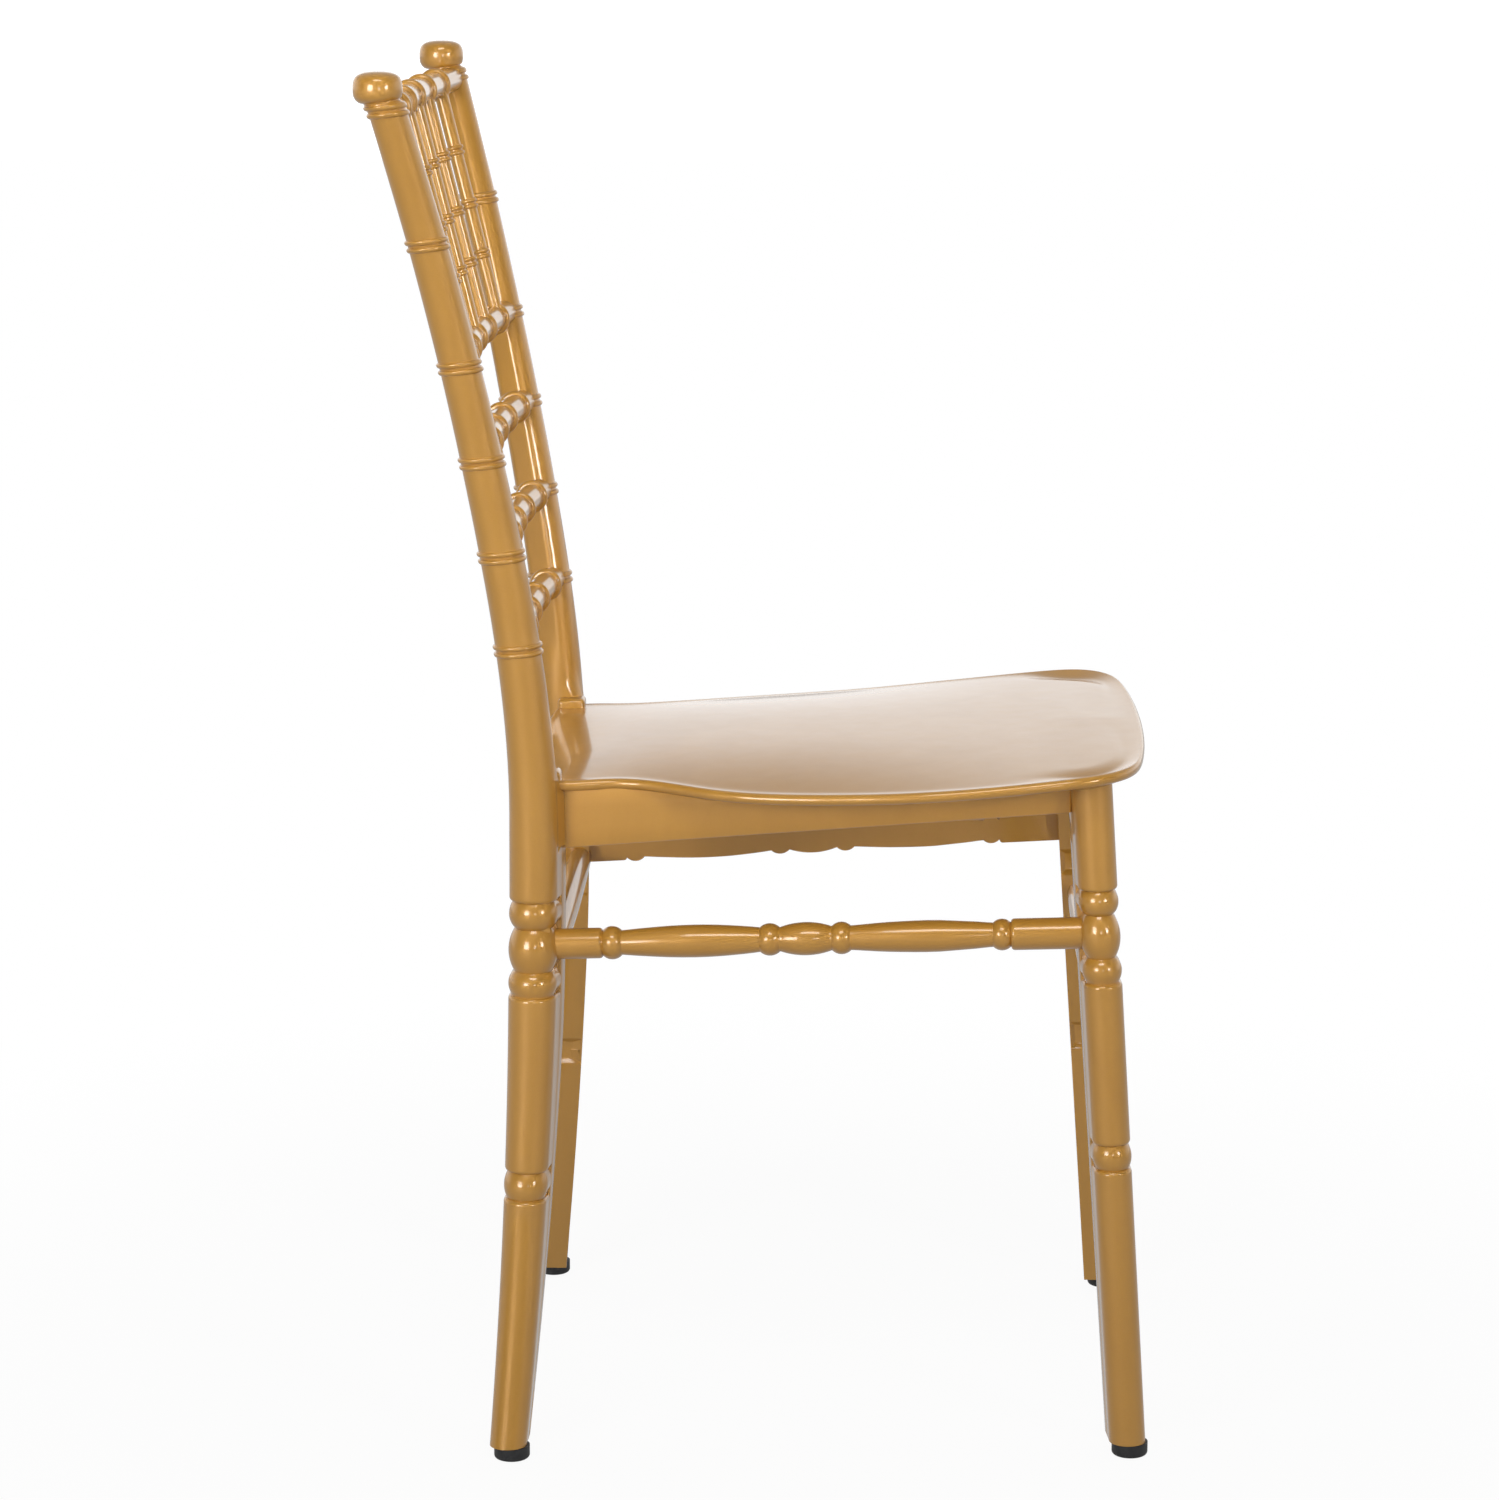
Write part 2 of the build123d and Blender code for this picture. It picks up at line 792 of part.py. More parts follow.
feet = ((post_axis, post_foot_d, "rear_glide"), (leg_axis, leg_foot_d, "front_glide"))
for axis, width, name in feet:
    piece = glide(axis, width - 2 * glide_margin)
    write(piece, f"left_{name}")
    mirrored(piece, f"right_{name}")

with BuildPart() as floor_cut:
    with BuildSketch(Plane.XY.offset(glide_height)):
        Rectangle(4 * seat_half_width, 4 * seat_half_width)
    extrude(amount=-cutter_run)

with BuildPart() as left_rear_post:
    add(rear_half)
    add(rear_web)
    add(rear_upper)
    add(rear_block.part)
    add(floor_cut.part, mode=Mode.SUBTRACT)
    add(rung_holes, mode=Mode.SUBTRACT)
    add(stretcher_sockets(side_start, side_run, stretcher_d), mode=Mode.SUBTRACT)
    add(cross_sockets(rear_cross_reach, cross_rear_y, cross_rear_height), mode=Mode.SUBTRACT)
    add([side_socket, rear_socket], mode=Mode.SUBTRACT)
    add(inner_pocket(post_axis, rear_ball_height - rear_pocket_drop), mode=Mode.SUBTRACT)
    add(inner_pocket(post_axis, rear_ring_height + rear_low_pocket_rise), mode=Mode.SUBTRACT)
    add(glide_hole(post_axis), mode=Mode.SUBTRACT)
write(left_rear_post.part, "left_rear_post")
mirrored(left_rear_post.part, "right_rear_post")


# Front legs

front_rows = ordered(
    [
        (foot_start, leg_shaft(foot_start)),
        *turned_ring(front_ring_height, leg_shaft),
        *turned_group(front_ball_height, leg_shaft),
        (front_lower_top, leg_shaft(front_lower_top)),
    ]
)
front_half = half_turned(leg_axis, front_rows, leg_shaft, -1)
front_web = web(leg_axis, (foot_start, wing_fade_height, front_lower_top), leg_shaft, -1)
front_top_heights = (front_lower_top, front_lower_top + cutter_run)
front_top = turned(leg_axis, [(z, leg_shaft(z)) for z in front_top_heights])
with BuildPart() as front_block:
    with BuildSketch(Plane.XY.offset(rail_low_front)):
        with Locations((front_block_inner, front_block_back)):
            Rectangle(front_block_width, leg_top_d, align=(Align.MIN, Align.MAX))
    extrude(amount=cutter_run)

with BuildPart() as left_front_leg:
    add(front_half)
    add(front_web)
    add(front_top)
    add(front_block.part)
    add(above_seat, mode=Mode.SUBTRACT)
    add(floor_cut.part, mode=Mode.SUBTRACT)
    add(stretcher_sockets(side_end, side_run * -1, stretcher_d), mode=Mode.SUBTRACT)
    add(cross_sockets(front_cross_reach, cross_front_y, cross_front_height), mode=Mode.SUBTRACT)
    add([side_socket, front_socket], mode=Mode.SUBTRACT)
    add(inner_pocket(leg_axis, front_ball_height - front_pocket_drop), mode=Mode.SUBTRACT)
    add(inner_pocket(leg_axis, front_ring_height - front_low_pocket_drop), mode=Mode.SUBTRACT)
    add(glide_hole(leg_axis), mode=Mode.SUBTRACT)
write(left_front_leg.part, "left_front_leg")
mirrored(left_front_leg.part, "right_front_leg")


# Seat panel: the crowned blank cut to a bell-shaped outline, notched round the rear posts

waist_x = seat_waist_half_width
full_x = seat_half_width
seat_back = post_back + seat_back_lap
seat_depth = seat_back - seat_front
side_points = [
    (0, seat_front),
    (full_x - 61, seat_front + 0.0145 * seat_depth),
    (full_x - 22, seat_front + 0.036 * seat_depth),
    (full_x - 6, seat_front + 0.082 * seat_depth),
    (full_x, seat_front + 0.218 * seat_depth),
    (full_x - 5, seat_front + 0.4 * seat_depth),
    (waist_x + 44, seat_front + 0.595 * seat_depth),
    (waist_x + 22, seat_front + 0.726 * seat_depth),
    (waist_x + 4, seat_front + 0.818 * seat_depth),
    (waist_x, seat_front + 0.871 * seat_depth),
]
sleeve_heights = (seat_height - cutter_run, seat_height, seat_height + cutter_run)
sleeve = turned(post_axis, [(z, post_shaft(z) + fit) for z in sleeve_heights])
with BuildPart() as seat_panel:
    with BuildSketch(Plane.XY.offset(seat_height - cutter_run)):
        with BuildLine():
            Spline(side_points, tangents=[(1, 0), (0, 1)])
            Polyline(side_points[-1], (waist_x, seat_back), (0, seat_back))
            mirror(about=Plane.YZ)
        make_face()
    extrude(amount=2 * cutter_run)
    add(seat_slab(seat_thickness), mode=Mode.INTERSECT)
    add(sleeve, mode=Mode.SUBTRACT)
    mirror(sleeve, about=Plane.YZ, mode=Mode.SUBTRACT)
    add(screw_holes, mode=Mode.SUBTRACT)
    mirror(screw_holes, about=Plane.YZ, mode=Mode.SUBTRACT)
write(seat_panel.part, "seat_panel")
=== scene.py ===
# %% [markdown]
# # A moulded resin banquet chair
# The real chair is injection moulded in a resin that is coloured right through with gold pearl pigment.
# It copies a turned wooden chair: bamboo-like rings on the back, ball turnings on the legs, a saddle seat.
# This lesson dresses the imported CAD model. Its nodes are the fixed frame: a node whose shape is right keeps
# its mesh and gets a finish, and the others are replaced by smoother pieces that stand in the same place.

# %% Load the frame
import math

import bpy
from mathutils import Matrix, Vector


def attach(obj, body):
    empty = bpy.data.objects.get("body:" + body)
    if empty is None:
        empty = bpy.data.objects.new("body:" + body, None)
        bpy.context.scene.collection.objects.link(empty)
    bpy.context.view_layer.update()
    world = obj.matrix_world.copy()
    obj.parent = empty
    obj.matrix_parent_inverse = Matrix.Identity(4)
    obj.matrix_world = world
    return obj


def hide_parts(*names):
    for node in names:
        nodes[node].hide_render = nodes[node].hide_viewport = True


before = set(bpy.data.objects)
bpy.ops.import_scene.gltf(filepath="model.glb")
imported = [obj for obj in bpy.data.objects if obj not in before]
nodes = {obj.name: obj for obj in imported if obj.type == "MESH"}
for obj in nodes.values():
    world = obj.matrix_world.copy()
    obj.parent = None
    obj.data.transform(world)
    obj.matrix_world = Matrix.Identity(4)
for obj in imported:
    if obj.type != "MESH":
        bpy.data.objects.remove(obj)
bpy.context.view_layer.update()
MM = 0.001

# %% [markdown]
# ## Gold pearl resin
# The resin is full of fine mica flakes under a skin that is as smooth as the polished mould. A full metal
# would look too dark and too contrasty: the flakes only tint the body and give it a little sheen, and the
# skin adds a sharp clear gloss. So the shader is a coloured plastic with a share of metal under a clear coat.
# A shared group puts out what changes over the surface: cloudy colour where the flow carried more or less
# pigment, tiny flake specks, and the roughness of handling. Each material sets its own strengths.


# %% Flow and flake group
def add_node(tree, kind, **values):
    """A new node with some of its properties set."""
    node = tree.nodes.new(kind)
    for key, value in values.items():
        setattr(node, key, value)
    return node


def combine(tree, operation, first, second, clamp=False):
    """A Math node that takes a socket, and a second socket or a constant."""
    node = add_node(tree, "ShaderNodeMath", operation=operation, use_clamp=clamp)
    tree.links.new(first, node.inputs[0])
    if isinstance(second, float):
        node.inputs[1].default_value = second
    else:
        tree.links.new(second, node.inputs[1])
    return node.outputs[0]


def pearl_group():
    """Node group with the cloudy colour, the flake specks and the uneven gloss of the resin."""
    group = bpy.data.node_groups.new("pearl_resin", "ShaderNodeTree")
    for name, default in (("Flow", 0.5), ("Flake", 0.5), ("Smudge", 0.5)):
        socket = group.interface.new_socket(name, in_out="INPUT", socket_type="NodeSocketFloat")
        socket.default_value = default
    group.interface.new_socket("Light", in_out="INPUT", socket_type="NodeSocketColor")
    group.interface.new_socket("Dark", in_out="INPUT", socket_type="NodeSocketColor")
    group.interface.new_socket("Color", in_out="OUTPUT", socket_type="NodeSocketColor")
    group.interface.new_socket("Roughness", in_out="OUTPUT", socket_type="NodeSocketFloat")
    take = add_node(group, "NodeGroupInput")
    give = add_node(group, "NodeGroupOutput")
    place = add_node(group, "ShaderNodeTexCoord")
    stretch = add_node(group, "ShaderNodeMapping")
    stretch.inputs["Scale"].default_value = (1.0, 1.0, 0.35)
    link = group.links.new
    link(place.outputs["Object"], stretch.inputs["Vector"])

    def noise(where, strength, scale, detail, distortion=0.0):
        """A noise about zero, times one of the group's strengths."""
        node = add_node(group, "ShaderNodeTexNoise")
        node.inputs["Scale"].default_value = scale
        node.inputs["Detail"].default_value = detail
        node.inputs["Distortion"].default_value = distortion
        link(where, node.inputs["Vector"])
        about_zero = combine(group, "SUBTRACT", node.outputs["Fac"], 0.5)
        return combine(group, "MULTIPLY", about_zero, take.outputs[strength])

    flow = noise(stretch.outputs["Vector"], "Flow", scale=26.0, detail=4.0, distortion=1.4)
    speck = noise(place.outputs["Object"], "Flake", scale=1500.0, detail=1.0)
    smudge = noise(place.outputs["Object"], "Smudge", scale=60.0, detail=5.0)
    mix = add_node(group, "ShaderNodeMix", data_type="RGBA")
    both = combine(group, "ADD", flow, speck)
    link(combine(group, "ADD", both, 0.5, clamp=True), mix.inputs["Factor"])
    link(take.outputs["Dark"], mix.inputs[6])
    link(take.outputs["Light"], mix.inputs[7])
    link(mix.outputs[2], give.inputs["Color"])
    link(combine(group, "ADD", smudge, 0.42, clamp=True), give.inputs["Roughness"])
    return group


pearl = pearl_group()
print("pearl group nodes:", len(pearl.nodes))


# %% Gold resin material
def gold_resin(name, flow=0.7, flake=0.5, smudge=0.12):
    """The gold body under its clear, glossy skin."""
    material = bpy.data.materials.new(name)
    material.use_nodes = True
    tree = material.node_tree
    shader = tree.nodes["Principled BSDF"]
    look = add_node(tree, "ShaderNodeGroup", node_tree=pearl)
    look.inputs["Flow"].default_value = flow
    look.inputs["Flake"].default_value = flake
    look.inputs["Smudge"].default_value = smudge
    look.inputs["Light"].default_value = (0.60, 0.300, 0.043, 1)
    look.inputs["Dark"].default_value = (0.50, 0.238, 0.028, 1)
    tree.links.new(look.outputs["Color"], shader.inputs["Base Color"])
    tree.links.new(look.outputs["Roughness"], shader.inputs["Roughness"])
    shader.inputs["Metallic"].default_value = 0.2
    shader.inputs["Specular IOR Level"].default_value = 0.5
    shader.inputs["Coat Weight"].default_value = 1.0
    shader.inputs["Coat Roughness"].default_value = 0.09
    shader.inputs["Coat IOR"].default_value = 1.5
    return material


gold = gold_resin("gold_resin_gloss")
print("finish:", gold.name)

# %% [markdown]
# ## Black rubber and zinc
# The glides are black rubber with a dull skin that picks up dust. The seat screws are bright zinc. Both need
# only one cloudy noise, which mixes two shades and raises the skin a little.


# %% Rubber and zinc materials
def simple_finish(name, dark, light, scale, rough, metallic):
    """Two shades mixed by one noise of the given scale, with a slight bump."""
    material = bpy.data.materials.new(name)
    material.use_nodes = True
    tree = material.node_tree
    shader = tree.nodes["Principled BSDF"]
    place = add_node(tree, "ShaderNodeTexCoord")
    noise = add_node(tree, "ShaderNodeTexNoise")
    noise.inputs["Scale"].default_value = scale
    noise.inputs["Detail"].default_value = 6.0
    ramp = add_node(tree, "ShaderNodeValToRGB")
    ramp.color_ramp.elements[0].position = 0.35
    ramp.color_ramp.elements[1].position = 0.75
    ramp.color_ramp.elements[0].color = dark
    ramp.color_ramp.elements[1].color = light
    bump = add_node(tree, "ShaderNodeBump")
    bump.inputs["Strength"].default_value = 0.15
    bump.inputs["Distance"].default_value = 0.0005
    link = tree.links.new
    link(place.outputs["Object"], noise.inputs["Vector"])
    link(noise.outputs["Fac"], ramp.inputs["Fac"])
    link(ramp.outputs["Color"], shader.inputs["Base Color"])
    link(noise.outputs["Fac"], bump.inputs["Height"])
    link(bump.outputs["Normal"], shader.inputs["Normal"])
    shader.inputs["Roughness"].default_value = rough
    shader.inputs["Metallic"].default_value = metallic
    return material


rubber = simple_finish(
    "black_rubber_dusty", dark=(0.012, 0.012, 0.013, 1), light=(0.03, 0.03, 0.031, 1),
    scale=180.0, rough=0.55, metallic=0.0,
)
zinc = simple_finish(
    "zinc_bright", dark=(0.5, 0.5, 0.52, 1), light=(0.68, 0.68, 0.7, 1),
    scale=300.0, rough=0.32, metallic=1.0,
)
finish_of_slot = {"gold_resin": gold, "black_rubber": rubber, "zinc_steel": zinc}
print("finishes by slot:", {slot: finish.name for slot, finish in finish_of_slot.items()})

# %% [markdown]
# ## Dress the CAD nodes
# Each node came with one slot that names what it is made of. The slot gets the finish of that name, so the
# glides, the screws and the hidden rails are done, and a node that is replaced later has it as well.

# %% Dress the CAD nodes
for node in nodes.values():
    slot = node.material_slots[0].material.name.split(".")[0]
    node.material_slots[0].material = finish_of_slot[slot]
print("dressed nodes:", len(nodes))

# %% [markdown]
# ## Tools of the turner
# Posts, legs and stretchers copy wood turned on a lathe. In Blender the profile is one vertex that is
# extruded along the outline and then spun about the axis. A ball between two grooves is an arc of a circle,
# and the plain shaft ends at a groove in a small rounded shoulder.


# %% Profile of a ball, a shoulder and a pair of beads
def ball(low, high, radius, dip_low, dip_high, steps=14):
    """Rows (height, radius) of a ball whose arc falls by a dip at each end."""
    rows = []
    middle, half = (low + high) / 2, (high - low) / 2
    for k in range(steps + 1):
        away = half * (2 * k / steps - 1)
        dip = dip_low if away < 0 else dip_high
        arc = (half**2 + dip**2) / (2 * dip)
        rows.append((middle + away, radius - arc + math.sqrt(arc**2 - away**2)))
    return rows


def shoulder(edge, radius, dip, reach, side, steps=6):
    """The rounded end of a plain shaft at a groove; side is +1 where the groove lies above."""
    rows = []
    for k in range(steps + 1):
        turn = math.pi / 2 * k / steps
        rows.append((edge - side * reach * (1 - math.sin(turn)), radius - dip * (1 - math.cos(turn))))
    return rows if side > 0 else rows[::-1]


def bead_pair(middle, radius, rise, half, spacing, steps=8):
    """Two half-round beads with a narrow valley between them."""
    rows = []
    for centre in (middle - spacing / 2, middle + spacing / 2):
        for k in range(steps + 1):
            turn = math.pi * (k / steps - 0.5)
            rows.append((centre + half * math.sin(turn), radius + rise * math.cos(turn)))
    return rows


# %% Rows in order, marks and plain shafts
def in_order(rows, gap=0.04):
    """Rows from the bottom up; one that repeats the height below it is left out."""
    kept = [rows[0]]
    for row in rows[1:]:
        if row[0] - kept[-1][0] > gap:
            kept.append(row)
    return kept


def from_marks(at, marks):
    """Straight interpolation in a rising list of (place, value) marks."""
    if at <= marks[0][0]:
        return marks[0][1]
    for (a, u), (b, v) in zip(marks, marks[1:]):
        if at <= b:
            return u + (v - u) * (at - a) / (b - a)
    return marks[-1][1]


def shaft_rows(low, high, radius, step=12.0):
    """A plain shaft, cut into short lengths so that it can follow a bowed line."""
    count = max(1, round((high - low) / step))
    heights = [low + (high - low) * k / count for k in range(count + 1)]
    return [(z, radius(z)) for z in heights]


# %% Draw, spin and join
def only(obj):
    """Makes obj the only selected object and the active one."""
    bpy.ops.object.select_all(action="DESELECT")
    obj.select_set(True)
    bpy.context.view_layer.objects.active = obj


def drawn_line(name, points):
    """One vertex extruded along points in millimetres; stays in edit mode with all selected."""
    bpy.ops.object.select_all(action="DESELECT")
    bpy.ops.mesh.primitive_plane_add(size=0.01, location=(0, 0, 0))
    obj = bpy.context.object
    obj.name = obj.data.name = name
    bpy.ops.object.mode_set(mode="EDIT")
    bpy.ops.mesh.select_mode(type="VERT")
    bpy.ops.mesh.merge(type="CENTER")
    bpy.ops.transform.translate(value=Vector(points[0]) * MM)
    for here, there in zip(points, points[1:]):
        step = (Vector(there) - Vector(here)) * MM
        bpy.ops.mesh.extrude_region_move(TRANSFORM_OT_translate={"value": step})
    bpy.ops.mesh.select_all(action="SELECT")
    return obj


def closed_up():
    """Merges doubles and turns all faces outwards; leaves edit mode."""
    bpy.ops.mesh.select_all(action="SELECT")
    bpy.ops.mesh.remove_doubles(threshold=0.00001)
    bpy.ops.mesh.normals_make_consistent(inside=False)
    bpy.ops.object.mode_set(mode="OBJECT")


def turned(name, rows, steps=48):
    """A full turning about the Z axis, closed at both ends."""
    profile = [(0, 0, rows[0][0]), *[(r, 0, z) for z, r in rows], (0, 0, rows[-1][0])]
    obj = drawn_line(name, profile)
    bpy.ops.mesh.spin(steps=steps, angle=2 * math.pi, center=(0, 0, 0), axis=(0, 0, 1))
    closed_up()
    return obj


def joined(name, pieces):
    """Several objects made one."""
    bpy.ops.object.select_all(action="DESELECT")
    for piece in pieces:
        piece.select_set(True)
    bpy.context.view_layer.objects.active = pieces[0]
    bpy.ops.object.join()
    obj = bpy.context.object
    obj.name = obj.data.name = name
    return obj


# %% Place, mirror and hand over
def lay_on(obj, line, tilt):
    """Moves each level section of an upright piece onto a line, and tilts it back with the line."""
    for vertex in obj.data.vertices:
        height = vertex.co.z / MM
        lean = (line(height + 2).y - line(height - 2).y) / 4 * tilt(height)
        size = math.hypot(1, lean)
        across = Vector((vertex.co.x, vertex.co.y / size, -vertex.co.y * lean / size))
        vertex.co = line(height) * MM + across


def aim(obj, start, way):
    """Lays an upright piece along a straight line from start."""
    only(obj)
    obj.rotation_euler = Vector((0, 0, 1)).rotation_difference(way).to_euler()
    obj.location = start * MM
    bpy.ops.object.transform_apply(location=True, rotation=True, scale=False)


def cut_level(obj, height):
    """Cuts the piece off flat at a height and closes the cut."""
    only(obj)
    bpy.ops.object.mode_set(mode="EDIT")
    bpy.ops.mesh.select_all(action="SELECT")
    bpy.ops.mesh.bisect(plane_co=(0, 0, height * MM), plane_no=(0, 0, 1), use_fill=True, clear_inner=True)
    closed_up()


def soften(obj, width, segments=2):
    """Rounds all sharp edges a little, as every moulded edge is."""
    only(obj)
    bevel = obj.modifiers.new("soft_edges", "BEVEL")
    bevel.width = width * MM
    bevel.segments = segments
    bevel.limit_method = "ANGLE"
    bevel.angle_limit = math.radians(40)
    bpy.ops.object.modifier_apply(modifier="soft_edges")


def mirror_twin(obj, name):
    """The right-hand copy of a left-hand piece, with its own mesh."""
    only(obj)
    bpy.ops.object.duplicate()
    twin = bpy.context.object
    twin.name = twin.data.name = name
    twin.scale = (-1, 1, 1)
    bpy.ops.object.transform_apply(location=False, rotation=False, scale=True)
    bpy.ops.object.mode_set(mode="EDIT")
    bpy.ops.mesh.select_all(action="SELECT")
    bpy.ops.mesh.normals_make_consistent(inside=False)
    bpy.ops.object.mode_set(mode="OBJECT")
    return twin


def stand_for(obj, node, material, crease=40):
    """Smooth shading, the finish, and what the frame needs to know about a finished piece."""
    only(obj)
    bpy.ops.object.shade_smooth_by_angle(angle=math.radians(crease))
    obj.data.materials.clear()
    obj.data.materials.append(material)
    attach(obj, "root")
    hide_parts(node)
    print(node, "faces:", len(obj.data.polygons))


# %% [markdown]
# ## Rear posts
# Each rear post is one moulding from the black foot to the bun-shaped knob. It bows outward above and below
# the seat and rakes back. The rings stay level from side to side and tilt back only half as far as the post
# leans, because the mould parts front and back. So the post is turned upright and each level section is then
# moved onto the bowed line; a bend along a curve would tilt the rings too far. On the inside a plain face
# runs up between the rings and catches the light in a thin line along its edge. Towards the seat the inner
# front edge spreads into a flank.

# %% Line and thickness of the post
POST_X, POST_Y, WAIST, LINE_END = 144.3, 151.9, 420.0, 899.0
UPPER_RISE, UPPER_FLARE, UPPER_RAKE, RAKE_EASE = 486.0, 72.2, 89.0, 400.0
LOWER_FLARE, LOWER_RAKE = 60.7, 17.0
# height, and a small shift of the line there; minus is forward
post_nudge = [(600, 0), (650, -0.4), (722, -1.4), (802, -2.2), (886, -2.2), (893, -1.6), (899, 1.1)]
# height and radius
post_sizes = [
    (-40, 12.1), (0, 12.2), (300, 16.2), (410, 16.2), (470, 15.4), (560, 14.55), (640, 14.0), (722, 13.2),
    (800, 12.6), (906, 12.0),
]


def post_point(z):
    """A point of the left post's middle line, in millimetres; the knob stands upright on its end."""
    rise = min(z, LINE_END) - WAIST
    if rise > 0:
        flare = UPPER_FLARE * (rise / UPPER_RISE) ** 2
        back = UPPER_RAKE * (rise**2 / (rise + RAKE_EASE)) / (UPPER_RISE**2 / (UPPER_RISE + RAKE_EASE))
    else:
        flare = LOWER_FLARE * (rise / WAIST) ** 2
        back = LOWER_RAKE * (rise / WAIST) ** 2
    return Vector((POST_X + flare, POST_Y + back + from_marks(z, post_nudge), z))


def post_radius(z):
    """Radius of the post's plain shaft at a height."""
    return from_marks(z, post_sizes)


def post_tilt(z):
    """Share of the post's lean with which its sections tilt back: half, and less at the knob."""
    return from_marks(z, [(0, 0.5), (860, 0.5), (886, 0.4), (896, 0.2)])


print("post line at the foot, waist and knob:", [post_point(z).to_tuple(1) for z in (0, WAIST, LINE_END)])

# %% Upper post: beads and knob
POST_SPLIT, RING_ROOM = 403.0, 4.6
rows = []
low = POST_SPLIT
for ring in (536.8, 599.4, 662.0, 724.6, 804.4, 890.2):
    rows += shaft_rows(low, ring - RING_ROOM, post_radius)
    rows += bead_pair(ring, post_radius(ring), rise=1.6, half=1.75, spacing=4.8)
    low = ring + RING_ROOM
neck = [(894.8, 11.9), (895.1, 11.5), (895.6, 11.4), (896.1, 11.6)]
knob = [
    (896.4, 12.7), (897.1, 13.8), (898.3, 14.7), (899.9, 15.3), (901.7, 15.6), (903.6, 15.7), (905.6, 15.65),
    (907.6, 15.4), (909.4, 14.9), (910.9, 14.1), (912.2, 12.8), (913.2, 11.0), (914.0, 8.6), (914.5, 5.7),
    (914.7, 2.7),
]
rows = in_order(rows + neck + knob)
upper_post = turned("upper_post", rows, 72)
print("rows of the upper post:", len(rows))

# %% Plain inner face and flank of the upper post
FACE_LOW, FACE_HIGH, FACE_EASE = 470, 886, 25
FACE_TURN, FACE_SHARE, FACE_EDGE = 0.44, 0.835, 1.2
FLANK_TOP, FLANK_EASE, FLANK_SPREAD = 464, 20, 4.2
face_way = Vector((-math.cos(FACE_TURN), math.sin(FACE_TURN), 0))
flattened = 0
for vertex in upper_post.data.vertices:
    x, y, z = vertex.co / MM
    if FACE_LOW < z < FACE_HIGH and math.hypot(x, y) < post_radius(z) + 0.05:
        over = face_way.dot(vertex.co / MM) - FACE_SHARE * post_radius(z)
        round_off = max(0.0, FACE_EDGE - abs(over)) ** 2 / (4 * FACE_EDGE)
        vertex.co -= face_way * (max(0.0, over) + round_off) * min(1.0, (z - FACE_LOW) / FACE_EASE) * MM
        flattened += over > 0
    if x < 0 and y < 0 and z < FLANK_TOP:
        flank = -(post_radius(z) + FLANK_SPREAD * min(1.0, -x / 9))
        vertex.co.y += (flank - y) * min(1.0, (FLANK_TOP - z) / FLANK_EASE) ** 2 * MM
print("vertices on the plain face:", flattened)

# %% [markdown]
# ## Half-round legs
# Below the seat rail a leg is a half round outside with flat flanks and a plain web inside. A turned shape
# has no undercut that way, so the mould can open sideways. The web carries small lightening pockets. The half
# round is a profile spun half a turn, and the web is a square extruded upwards in steps and then shaped.


# %% Half-round leg with flank
FLANK, FLANK_CLOSE, WEB_BACK = 9.0, 0.4, 20.0


def half_leg(name, rows, side, wing):
    """A half round towards +X; on one side of Y the flank spreads by the wing, on the other it closes."""
    obj = drawn_line(name, [(0, -r, z) for z, r in rows])
    bpy.ops.mesh.spin(steps=28, angle=-math.pi, center=(0, 0, 0), axis=(0, 0, 1))
    for edge in (-1, 1):
        bpy.ops.object.mode_set(mode="OBJECT")
        for vertex in obj.data.vertices:
            vertex.select = abs(vertex.co.x) < 1e-6 and vertex.co.y * edge > 0
        bpy.ops.object.mode_set(mode="EDIT")
        bpy.ops.mesh.extrude_region_move(TRANSFORM_OT_translate={"value": (-FLANK * MM, 0, 0)})
        bpy.ops.object.mode_set(mode="OBJECT")
        for vertex in obj.data.vertices:
            if vertex.select:
                spread = wing(vertex.co.z / MM) * FLANK / WEB_BACK if edge == side else -FLANK_CLOSE
                vertex.co.y += edge * spread * MM
        bpy.ops.object.mode_set(mode="EDIT")
    bpy.ops.object.mode_set(mode="OBJECT")
    for vertex in obj.data.vertices:
        vertex.select = vertex.co.x < -FLANK * MM * 0.9
    bpy.ops.object.mode_set(mode="EDIT")
    bpy.ops.mesh.select_mode(type="EDGE")
    bpy.ops.mesh.bridge_edge_loops()
    bpy.ops.mesh.select_all(action="SELECT")
    bpy.ops.mesh.select_non_manifold(extend=False)
    bpy.ops.mesh.fill_holes(sides=0)
    bpy.ops.mesh.select_mode(type="VERT")
    closed_up()
    return obj


# %% Web with pockets
WEB_LAP, WEB_SLIM = 0.6, 3.5


